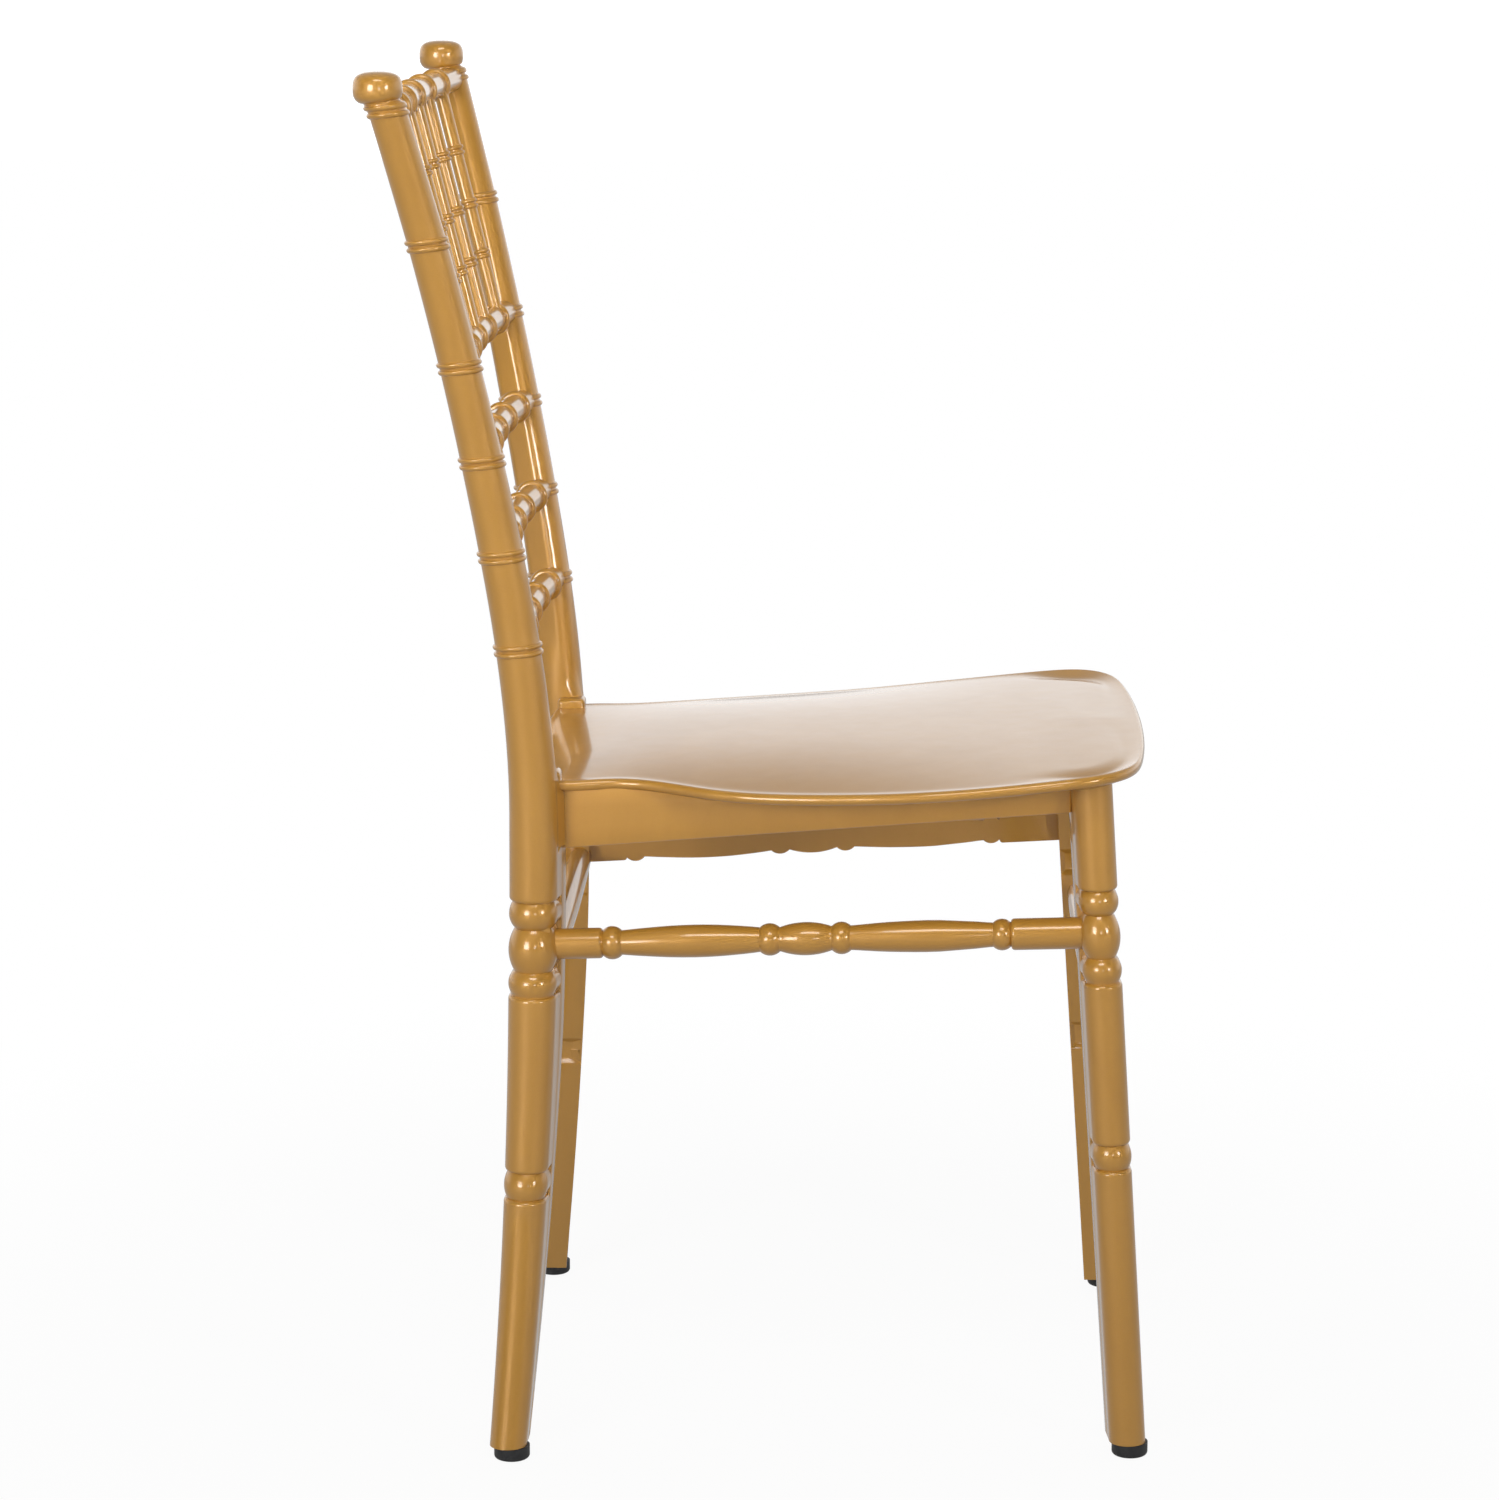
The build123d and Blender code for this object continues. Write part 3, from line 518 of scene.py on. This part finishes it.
def web_bar(name, heights, radius, side, wing, pockets):
    """The plain web behind the half round: a square extruded upwards, shaped, with pockets inset inside."""
    bpy.ops.object.select_all(action="DESELECT")
    bpy.ops.mesh.primitive_plane_add(size=2.0)
    obj = bpy.context.object
    obj.name = obj.data.name = name
    bpy.ops.object.mode_set(mode="EDIT")
    bpy.ops.mesh.select_mode(type="FACE")
    bpy.ops.transform.translate(value=(0, 0, heights[0] * MM))
    for here, there in zip(heights, heights[1:]):
        bpy.ops.mesh.extrude_region_move(TRANSFORM_OT_translate={"value": (0, 0, (there - here) * MM)})
    bpy.ops.object.mode_set(mode="OBJECT")
    for vertex in obj.data.vertices:
        z = vertex.co.z / MM
        depth = WEB_BACK if vertex.co.x < 0 else FLANK - WEB_LAP
        if vertex.co.y * side > 0:
            y = side * (radius(z) + wing(z) * depth / WEB_BACK)
        else:
            y = -side * (radius(z) - WEB_SLIM)
        vertex.co = Vector((-depth, y, z)) * MM
    for face in obj.data.polygons:
        z = face.center.z / MM
        inside = face.center.x < -0.95 * WEB_BACK * MM
        face.select = inside and any(a < z < b for a, b in pockets)
    bpy.ops.object.mode_set(mode="EDIT")
    bpy.ops.mesh.inset(thickness=0.0035, depth=-0.004)
    bpy.ops.mesh.select_mode(type="VERT")
    closed_up()
    soften(obj, 0.7)
    return obj


# %% Outline and flank of a leg
SHOULDER_ROOM, WING_TOP = 3, 280.0


def leg_rows(low, ring, group, top, radius):
    """Plain foot, one ring, plain shaft, the group of three balls and the plain top."""

    def shoulder_at(edge, side):
        return shoulder(edge, radius(edge), dip=2.0, reach=2.6, side=side)

    ring_low, ring_high = ring
    first, second, third, last = group
    rows = shaft_rows(low, ring_low - SHOULDER_ROOM, radius)
    rows += shoulder_at(ring_low, 1)
    rows += ball(ring_low, ring_high, radius(ring_low) + 0.4, 2.4, 2.4)
    rows += shoulder_at(ring_high, -1)
    rows += shaft_rows(ring_high + SHOULDER_ROOM, first - SHOULDER_ROOM, radius)
    rows += shoulder_at(first, 1)
    rows += ball(first, second, radius(first) + 0.2, 2.8, 3.8)
    rows += ball(second, third, radius(second) + 0.4, 4.0, 4.2, 20)
    rows += ball(third, last, radius(third) + 0.2, 3.9, 2.8)
    rows += shoulder_at(last, -1)
    rows += shaft_rows(last + SHOULDER_ROOM, top, radius)
    return in_order(rows)


def wing_of(foot, growth):
    """How far a flank spreads at a height: a little at the foot, and more up to WING_TOP."""
    return lambda z: foot + growth * max(0.0, min(1.0, z / WING_TOP))


# %% Assemble the rear posts
FOOT, ROOT = 9.0, -14  # a leg is made too long and then cut level where its glide begins
rear_wing = wing_of(0.4, 3.5)
rear_rows = leg_rows(ROOT, (169.3, 187.4), (304.2, 320.4, 349.3, 367.8), POST_SPLIT, post_radius)
lower_post = half_leg("lower_post", rear_rows, -1, rear_wing)
heights = [ROOT, 20, 50, 80, 110, 140, 160, 177, 197, 220, 250, 280, 307, 321, 345, 370, POST_SPLIT]
post_web = web_bar("post_web", heights, post_radius, -1, rear_wing, [(177, 197), (307, 321)])
post = joined("left_rear_post_turned", [upper_post, lower_post, post_web])
lay_on(post, post_point, post_tilt)
cut_level(post, FOOT)
stand_for(post, "left_rear_post", gold)
stand_for(mirror_twin(post, "right_rear_post_turned"), "right_rear_post", gold)

# %% [markdown]
# ## Back rungs and spindles
# Five rungs with half-round hoops tie the posts, each bowed back a little so that it fits the sitter. Five
# thin spindles with pairs of beads stand between the upper two. The rungs are turned straight and then laid
# on their bow, section by section; the spindles stay straight.

# %% Bow of a rung
BOW, RUNG_SET, RUNG_SHORT = 9.0, 3.0, 4.0
rungs = {  # height, and the share of the half length at which the outer hoops lie
    "crest_rail": (887.0, 0.662), "spindle_rail": (724.6, 0.735), "upper_ladder_rung": (662.0, 0.78),
    "middle_ladder_rung": (599.4, 0.78), "lower_ladder_rung": (536.8, 0.78),
}


def rung_end(z):
    """End of a rung inside the left post."""
    end = post_point(z)
    return Vector((end.x - RUNG_SHORT, end.y - from_marks(z, post_nudge) - RUNG_SET, z))


def rung_half(z):
    """Radius of a rung's bow, and half the length along it."""
    end = rung_end(z)
    bend = (end.x**2 + BOW**2) / (2 * BOW)
    return bend, bend * math.asin(end.x / bend)


def rung_point(z, along):
    """A point at a distance from the middle of a rung, and the way backwards there."""
    bend, _ = rung_half(z)
    back = Vector((math.sin(along / bend), math.cos(along / bend), 0))
    return Vector((0, rung_end(z).y + BOW - bend, z)) + back * bend, back


# %% Rungs
RUNG_RADIUS, HOOP_ROOM = 9.0, 2.7
HOOPS = [-1.0, -0.5, 0.0, 0.5, 1.0]  # shares of the outer hoops' distance from the middle


def hoop_rows(middle, rise=2.6, half=2.5, steps=10):
    """One half-round hoop on a rung."""
    turns = [math.pi * (k / steps - 0.5) for k in range(steps + 1)]
    return [(middle + half * math.sin(turn), RUNG_RADIUS + rise * math.cos(turn)) for turn in turns]


for name, (z, reach) in rungs.items():
    half = rung_half(z)[1]
    rows, low = [], -half
    for hoop in HOOPS:
        middle = half * reach * hoop
        rows += shaft_rows(low, middle - HOOP_ROOM, lambda at: RUNG_RADIUS)
        rows += hoop_rows(middle)
        low = middle + HOOP_ROOM
    rows += shaft_rows(low, half, lambda at: RUNG_RADIUS)
    rung = turned(name + "_turned", in_order(rows), 40)
    for vertex in rung.data.vertices:
        point, back = rung_point(z, vertex.co.z / MM)
        vertex.co = point * MM + back * vertex.co.x + Vector((0, 0, vertex.co.y))
    stand_for(rung, name, gold)

# %% Spindles
SPINDLE_RADIUS, SPINDLE_SET, SPINDLE_SHORT, BEAD_ROOM = 4.8, 3.0, 4.0, 3.6


def spindle_end(name, hoop):
    """Where a spindle meets a rail: at the rail's hoop, set a little forward."""
    z, reach = rungs[name]
    return rung_point(z, rung_half(z)[1] * reach * hoop)[0] - Vector((0, SPINDLE_SET, 0))


for number, hoop in enumerate(HOOPS, 1):
    low, high = spindle_end("spindle_rail", hoop), spindle_end("crest_rail", hoop)
    length = (high - low).length
    rows, start = [], SPINDLE_SHORT
    for part in (0.279, 0.493, 0.721):
        rows += shaft_rows(start, length * part - BEAD_ROOM, lambda at: SPINDLE_RADIUS)
        rows += bead_pair(length * part, SPINDLE_RADIUS, rise=1.4, half=1.5, spacing=4.0)
        start = length * part + BEAD_ROOM
    rows += shaft_rows(start, length - SPINDLE_SHORT, lambda at: SPINDLE_RADIUS)
    spindle = turned(f"spindle_{number}_turned", in_order(rows), 32)
    aim(spindle, low, (high - low).normalized())
    stand_for(spindle, f"spindle_{number}", gold)

# %% [markdown]
# ## Front legs
# The front leg is straight and splayed, with the same turnings at its own heights and the flank on its back.

# %% Front legs
LEG_HIGH = 444.0
LEG_FOOT, LEG_TOP = Vector((184.5, -244.4, 0.0)), Vector((164.0, -215.5, LEG_HIGH))


def leg_point(z):
    """A point of the left front leg's middle line."""
    return LEG_FOOT.lerp(LEG_TOP, z / LEG_HIGH)


def leg_radius(z):
    """Radius of the front leg's plain shaft, which thickens upwards."""
    return 12.1 + 1.1 * z / LEG_HIGH


front_wing = wing_of(1.6, 0.8)
front_rows = leg_rows(ROOT, (195.4, 212.4), (320.6, 337.2, 365.9, 382.6), 455.0, leg_radius)
front_half = half_leg("front_half", front_rows, 1, front_wing)
heights = [ROOT, 60, 120, 188, 209, 260, 320, 339, 390, 452]
front_web = web_bar("front_web", heights, leg_radius, 1, front_wing, [(188, 209), (320, 339)])
leg = joined("left_front_leg_turned", [front_half, front_web])
lay_on(leg, leg_point, lambda z: 0.5)
cut_level(leg, FOOT)
stand_for(leg, "left_front_leg", gold)
stand_for(mirror_twin(leg, "right_front_leg_turned"), "right_front_leg", gold)

# %% [markdown]
# ## Side stretchers
# A turned bar from ball to ball: a swell on each side of a large bead between two small ones. It is turned
# upright about its middle and then aimed from the rear post to the front leg. The face towards the inside is
# plain and flat, like the webs of the legs, because one half of the mould is flat; so the bar is cut there.

# %% Side stretchers
rows = [(-176.0, 10.2), (-139.0, 10.2)] + shoulder(-135.6, 10.2, 1.6, 2.4, 1)
rows += ball(-135.4, -122.6, 11.1, 2.6, 2.9)
rows += [
    (-120, 8.4), (-112, 9.1), (-105, 9.6), (-98, 10.1), (-91, 10.5), (-82, 10.8), (-74, 10.9), (-66, 10.8),
    (-59, 10.55), (-51.5, 10.1), (-43.5, 9.5), (-36, 8.8), (-31.7, 8.3),
]
rows += ball(-30.8, -17.6, 10.8, 2.6, 2.6)
rows += ball(-17.2, 16.6, 11.05, 2.9, 2.9, 18)
rows += ball(17.0, 29.6, 10.8, 2.6, 2.6)
rows += [
    (31.7, 8.3), (39.6, 8.9), (47.5, 9.5), (55.4, 9.95), (63.4, 10.25), (72, 10.5), (80, 10.6), (88, 10.5),
    (99, 9.85), (111, 9.1), (120, 8.3),
]
rows += ball(123.4, 135.0, 10.5, 2.4, 2.4) + shoulder(135.4, 10.5, 1.6, 2.4, -1) + [(139, 10.5), (185, 10.5)]
bar = turned("left_side_stretcher_turned", in_order(rows))
print("rows of a side stretcher:", len(rows))

# %% Aim the side stretchers and cut their flat face
BAR_MIDDLE_Y, BAR_FLAT = -28.6, 4.0
bar_start, bar_end = Vector((142.0, 152.5, 337.2)), Vector((163.4, -221.6, 353.0))
bar_way = (bar_end - bar_start).normalized()
aim(bar, bar_start + bar_way * ((bar_start.y - BAR_MIDDLE_Y) / -bar_way.y), bar_way)
outward = Vector((-bar_way.y, bar_way.x, 0)).normalized()
bpy.ops.object.mode_set(mode="EDIT")
bpy.ops.mesh.select_all(action="SELECT")
bpy.ops.mesh.bisect(
    plane_co=(bar_start - outward * BAR_FLAT) * MM, plane_no=outward, use_fill=True, clear_inner=True
)
closed_up()
twin = mirror_twin(bar, "right_side_stretcher_turned")
for piece, lift in ((bar, 1.0), (twin, -0.8)):  # the real pair does not hang quite level
    for vertex in piece.data.vertices:
        vertex.co.z += lift * MM
stand_for(bar, "left_side_stretcher", gold)
stand_for(twin, "right_side_stretcher", gold)

# %% [markdown]
# ## Cross stretchers
# The rear and front bars run level from side to side. They are plain and swell a little in the middle, so one
# short profile, spun and laid on its side, makes each of them.


# %% Cross stretchers
def cross_bar(name, y, z, reach, radius, swell=1.2, steps=12):
    """A level bar that swells a little towards its middle."""
    rows = [(reach * k / steps, radius - swell * (k / steps) ** 2) for k in range(-steps, steps + 1)]
    bar = turned(name, rows)
    aim(bar, Vector((0, y, z)), Vector((1, 0, 0)))
    return bar


rear_bar = cross_bar("rear_stretcher_turned", y=139.6, z=334.0, reach=136.0, radius=9.4)
front_bar = cross_bar("front_stretcher_turned", y=-221.0, z=306.0, reach=158.0, radius=9.0)
stand_for(rear_bar, "rear_stretcher", gold)
stand_for(front_bar, "front_stretcher", gold)

# %% [markdown]
# ## Seat panel
# The seat is one thin shell with a rolled rim. Its outline swells from the waist between the posts to wide
# front corners, the front rises, the middle is crowned, and a narrow lip stands up along the rim and wider at
# the front corners. A grid is wrapped like a sheet: one way round the outline, the other way from the middle
# of the top out to the rim, round it and back underneath.

# %% Outline of the seat
half_outline = [
    (0, 158), (60, 158), (118, 157), (138, 148), (141, 126), (138, 111), (137.5, 96), (141.5, 81),
    (148.5, 66), (157, 51), (165.5, 36), (172.5, 21), (178, 6), (185.5, -24), (190.5, -54), (196, -84),
    (200, -114), (201.8, -144), (202, -174), (200, -204), (194.5, -222), (182, -236), (163, -245),
    (135, -250), (72, -254.5), (0, -256),
]
outline = half_outline + [(-x, y) for x, y in half_outline[-2:0:-1]]
ring = bpy.data.curves.new("seat_outline", "CURVE")
spline = ring.splines.new("NURBS")
spline.points.add(len(outline) - 1)
for mark, (x, y) in zip(spline.points, outline):
    mark.co = (x, y, 0, 1)
spline.use_cyclic_u = True
spline.order_u = 3
spline.resolution_u = 6
ring_object = bpy.data.objects.new("seat_outline", ring)
bpy.context.scene.collection.objects.link(ring_object)
edge_points = [v.co.copy() for v in bpy.data.meshes.new_from_object(ring_object).vertices]
bpy.data.objects.remove(ring_object)
print("outline points:", len(edge_points))

# %% Height of the seat
RIM = 3.6
CORNER_Y, CORNER_WIDE = -217, 27
# depth, and the height of the rim's middle
rim_marks = [
    (-256, 461.9), (-234, 461.5), (-219, 460.6), (-204, 459.0), (-174, 455.5), (-144, 452.2), (-114, 449.3),
    (-84, 446.7), (-54, 444.8), (-24, 443.5), (6, 442.7), (21, 442.7), (36, 442.9), (51, 443.5), (81, 444.5),
    (96, 444.3), (126, 443.3), (160, 443.0),
]
# depth, and how far the middle stands above the rim
crown_marks = [
    (-256, 1.0), (-180, 4.0), (-120, 8.0), (-60, 11.0), (-20, 12.0), (20, 11.0), (60, 8.0), (110, 4.0),
    (160, 1.0),
]


def smooth_marks(at, marks, reach=14.0):
    """The marks averaged over a stretch, which rounds their corners."""
    return sum(from_marks(at + reach * k / 3, marks) for k in range(-3, 4)) / 7


def seat_top(spot, inset, share):
    """Height of the upper face at a spot; inset is its way in from the edge, share is 1 there, 0 inside."""
    corner = math.exp(-(((spot.y - CORNER_Y) / CORNER_WIDE) ** 2)) * min(1.0, abs(spot.x) / 150)
    lip = 1.1 * (1 - math.exp(-((inset / 6) ** 2)))
    ramp = 2.0 * corner * min(1.0, max(0.0, inset - RIM) / 14)
    groove = 2.4 * corner * math.exp(-(((inset - 19) / 10) ** 2))
    crown = smooth_marks(spot.y, crown_marks) * (1 - share**2.3)
    return smooth_marks(spot.y, rim_marks) + RIM + crown - lip - ramp - groove


print("rim height at the back and the front:", [round(smooth_marks(y, rim_marks), 1) for y in (150, -250)])

# %% Rows of the wrap
CROWN_INSET, SPINE_FRONT, SPINE_BACK = 30.0, -178.0, 92.0
shares = [1 - k / 30 for k in range(30)]
insets = [28.0, 25.0, 22.0, 18.0, 14.0, 11.5, 9.5, 8.0, 6.6, 5.4, 4.4]
turns = [math.pi / 2 - math.pi * k / 12 for k in range(13)]
wrap = [("top", s) for s in shares] + [("in", d) for d in insets] + [("roll", a) for a in turns]
wrap += [("under", d) for d in (6.0, 10.0, 16.0, 28.0)] + [("base", s) for s in (0.12, 0.3, 0.5, 0.75, 1.0)]


def seat_point(edge, kind, value):
    """A point of the shell, on the line from a point of the outline to the seat's spine."""
    spine = Vector((0, max(SPINE_FRONT, min(SPINE_BACK, edge.y)), 0))
    inward = spine - edge
    reach = inward.length
    inward = inward / reach
    if kind in ("top", "base"):
        inset = CROWN_INSET + (reach - CROWN_INSET) * value
    elif kind == "roll":
        inset = RIM * (1 - math.cos(value))
    else:
        inset = value
    spot = edge + inward * inset
    if kind == "roll":
        spot.z = seat_top(edge + inward * RIM, RIM, 1 - RIM / reach) - RIM + RIM * math.sin(value)
    else:
        under = 2 * RIM if kind in ("under", "base") else 0
        spot.z = seat_top(spot, inset, 1 - inset / reach) - under
    return spot


print("rows from the middle round to the underside:", len(wrap))

# %% Wrap the seat
around, across = len(edge_points), len(wrap)
bpy.ops.object.select_all(action="DESELECT")
bpy.ops.mesh.primitive_grid_add(x_subdivisions=around, y_subdivisions=across - 1, size=1.0)
shell = bpy.context.object
for vertex in shell.data.vertices:
    k = round((vertex.co.x + 0.5) * around) % around
    row = round((vertex.co.y + 0.5) * (across - 1))
    vertex.co = seat_point(edge_points[k], *wrap[row]) * MM
bpy.ops.object.mode_set(mode="EDIT")
closed_up()
print("faces of the seat shell:", len(shell.data.polygons))

# %% [markdown]
# ## Ledges of the seat
# Beside each post the seat ends in a small square ledge. It is a cube at its size and place with well rounded
# edges, joined to the shell because it is moulded with it.

# %% Ledges of the seat at the posts
LEDGE_SIZE = (0.019, 0.0195, 0.013)
ledges = []
for side in (-1, 1):
    bpy.ops.object.select_all(action="DESELECT")
    bpy.ops.mesh.primitive_cube_add(size=1.0, location=(side * 0.1295, 0.1443, 0.4462))
    ledge = bpy.context.object
    bpy.ops.transform.resize(value=LEDGE_SIZE)
    bpy.ops.object.transform_apply(location=True, rotation=True, scale=True)
    soften(ledge, 3.0, 4)
    ledges.append(ledge)
seat = joined("seat_panel_rolled", [shell, *ledges])
stand_for(seat, "seat_panel", gold, crease=60)

# %% [markdown]
# ## Side rails
# A deep plain rail hangs under each side of the seat and closes the gap up to the shell. It is a grid that
# follows the straight lower edge and the seat's curve above, given its thickness and softened edges.

# %% Side rails
RAIL_X, RAIL_Y, RAIL_FOOT = [(0, 132.8), (1, 157.5)], [(0, 152.0), (1, -201.8)], [(0, 398.5), (1, 431.0)]
RAIL_THICK, RAIL_DROP = 0.018, 1.5
bpy.ops.object.select_all(action="DESELECT")
bpy.ops.mesh.primitive_grid_add(x_subdivisions=40, y_subdivisions=3, size=1.0)
rail = bpy.context.object
rail.name = rail.data.name = "left_side_rail_plain"
for vertex in rail.data.vertices:
    along, up = vertex.co.x + 0.5, vertex.co.y + 0.5
    x, y, foot = (from_marks(along, marks) for marks in (RAIL_X, RAIL_Y, RAIL_FOOT))
    head = smooth_marks(y, rim_marks) - RAIL_DROP
    vertex.co = Vector((x, y, foot + (head - foot) * up)) * MM
bpy.ops.object.mode_set(mode="EDIT")
bpy.ops.mesh.select_all(action="SELECT")
bpy.ops.mesh.normals_make_consistent(inside=False)
bpy.ops.object.mode_set(mode="OBJECT")
wall = rail.modifiers.new("wall", "SOLIDIFY")
wall.thickness = RAIL_THICK
wall.offset = -1.0 if rail.data.polygons[0].normal.x > 0 else 1.0
bpy.ops.object.modifier_apply(modifier="wall")
soften(rail, 1.0)
bpy.ops.object.mode_set(mode="EDIT")
closed_up()
stand_for(rail, "left_side_rail", gold)
stand_for(mirror_twin(rail, "right_side_rail_plain"), "right_side_rail", gold)

# %% [markdown]
# ## Studio floor
# The chair stands on a white paper sweep. To the camera the paper glows up to pure white a little way from
# the chair, and close to it keeps the soft shadow. To bounced light it is grey, so the undersides stay dark,
# and in the gloss of the resin it shows at about half its strength.


# %% Eased range
def soft_range(tree, source, low, high, start, end):
    """Maps low to high onto start to end with an eased change."""
    node = add_node(tree, "ShaderNodeMapRange", interpolation_type="SMOOTHSTEP")
    for name, value in (("From Min", low), ("From Max", high), ("To Min", start), ("To Max", end)):
        node.inputs[name].default_value = value
    tree.links.new(source, node.inputs["Value"])
    return node.outputs["Result"]


# %% Floor
bpy.ops.object.select_all(action="DESELECT")
bpy.ops.mesh.primitive_plane_add(size=24.0, location=(0, 0, 0))
floor = bpy.context.object
floor.name = "studio_floor"
paper = bpy.data.materials.new("white_paper")
paper.use_nodes = True
tree = paper.node_tree
link = tree.links.new
shader = tree.nodes["Principled BSDF"]
shader.inputs["Roughness"].default_value = 0.9
glow = add_node(tree, "ShaderNodeEmission")
glow.inputs["Color"].default_value = (1, 1, 1, 1)
place = add_node(tree, "ShaderNodeTexCoord")
away = add_node(tree, "ShaderNodeVectorMath", operation="LENGTH")
link(place.outputs["Object"], away.inputs[0])
clear = soft_range(tree, away.outputs["Value"], 0.35, 1.1, 0.94, 1.0)
path = add_node(tree, "ShaderNodeLightPath")
pale = add_node(tree, "ShaderNodeMix", data_type="RGBA")
pale.inputs[6].default_value = (0.24, 0.24, 0.24, 1)
pale.inputs[7].default_value = (0.9, 0.9, 0.9, 1)
link(path.outputs["Is Camera Ray"], pale.inputs["Factor"])
link(pale.outputs[2], shader.inputs["Base Color"])
seen = combine(tree, "MULTIPLY", path.outputs["Is Camera Ray"], clear)
mirrored = combine(tree, "MULTIPLY", path.outputs["Is Glossy Ray"], 0.48)
mixed = add_node(tree, "ShaderNodeMixShader")
link(combine(tree, "MAXIMUM", seen, mirrored), mixed.inputs["Fac"])
link(shader.outputs["BSDF"], mixed.inputs[1])
link(glow.outputs["Emission"], mixed.inputs[2])
link(mixed.outputs["Shader"], tree.nodes["Material Output"].inputs["Surface"])
floor.data.materials.append(paper)
print("floor:", [round(side, 2) for side in floor.dimensions])

# %% [markdown]
# ## White surroundings
# Behind the chair the room is as white as the sweep, which gives the pale edges and the white sheen on the
# seat. Towards the camera and overhead it is darker, so the gold keeps its depth. The camera itself always
# sees pure white.

# %% World
world = bpy.data.worlds.new("white_sweep")
bpy.context.scene.world = world
world.use_nodes = True
tree = world.node_tree
background = tree.nodes["Background"]
link = tree.links.new
way = add_node(tree, "ShaderNodeTexCoord")
parts = add_node(tree, "ShaderNodeSeparateXYZ")
link(way.outputs["Generated"], parts.inputs["Vector"])
behind = soft_range(tree, parts.outputs["X"], -0.35, 0.35, 0.16, 1.2)
overhead = soft_range(tree, parts.outputs["Z"], 0.2, 0.5, 1.0, 0.42)
level = combine(tree, "MULTIPLY", behind, overhead)
path = add_node(tree, "ShaderNodeLightPath")
strength = combine(tree, "MAXIMUM", level, path.outputs["Is Camera Ray"])
link(strength, background.inputs["Strength"])
background.inputs["Color"].default_value = (1, 1, 1, 1)
print("world nodes:", len(tree.nodes))

# %% [markdown]
# ## Soft boxes
# A large soft box towards the chair's back and a small one towards its front stand on both sides of the
# camera. They make the bright spots on every ball. A weak one beside the lens fills the shadows and one
# overhead lights the seat. A narrow spread keeps the light of the first three on the chair.

# %% Soft boxes
AIM = Vector((0, 0, 0.85))


def soft_box(name, angle, height, distance, width, tall, power, spread=60):
    """A lamp aimed above the seat: angle in degrees from the camera's side, + towards the chair's front."""
    turn = math.radians(angle)
    spot = Vector((-distance * math.cos(turn), -distance * math.sin(turn), height))
    lamp = bpy.data.lights.new(name, "AREA")
    lamp.shape = "RECTANGLE"
    lamp.size = width
    lamp.size_y = tall
    lamp.energy = power
    lamp.spread = math.radians(spread)
    obj = bpy.data.objects.new(name, lamp)
    obj.location = spot
    obj.rotation_euler = (AIM - spot).to_track_quat("-Z", "Y").to_euler()
    bpy.context.scene.collection.objects.link(obj)
    return obj


boxes = [
    soft_box("soft_box_rear", -30, 1.1, 3.0, 1.1, 1.0, 5.8),
    soft_box("soft_box_front", 42, 1.2, 3.0, 0.55, 0.6, 2.8),
    soft_box("soft_box_centre", 9, 1.0, 3.4, 0.5, 0.4, 0.7),
    soft_box("soft_box_top", 0, 3.2, 2.2, 1.6, 0.8, 34, 180),
]
print("lamps in watts:", {box.name: round(box.data.energy, 2) for box in boxes})

# %% [markdown]
# ## Camera
# The chair is seen from its right-hand side, a little from above and from about three metres away. The
# place, the two angles and the long lens were fitted to pairs of matching points on the near and far side.

# %% Camera
camera_spot = Vector((-3.1288, -0.0741, 1.0646))
yaw, pitch = math.radians(1.60), math.radians(11.276)
ahead = Vector((math.cos(pitch) * math.cos(yaw), math.cos(pitch) * math.sin(yaw), -math.sin(pitch)))
lens = bpy.data.cameras.new("photo_camera")
lens.sensor_fit = "AUTO"
lens.sensor_width = 36.0
lens.lens = 111.13
camera = bpy.data.objects.new("photo_camera", lens)
camera.location = camera_spot
camera.rotation_euler = ahead.to_track_quat("-Z", "Y").to_euler()
bpy.context.scene.collection.objects.link(camera)
bpy.context.scene.camera = camera
bpy.context.scene.view_settings.view_transform = "Standard"
print("camera at", [round(value, 3) for value in camera.location], "lens", round(lens.lens, 1), "mm")
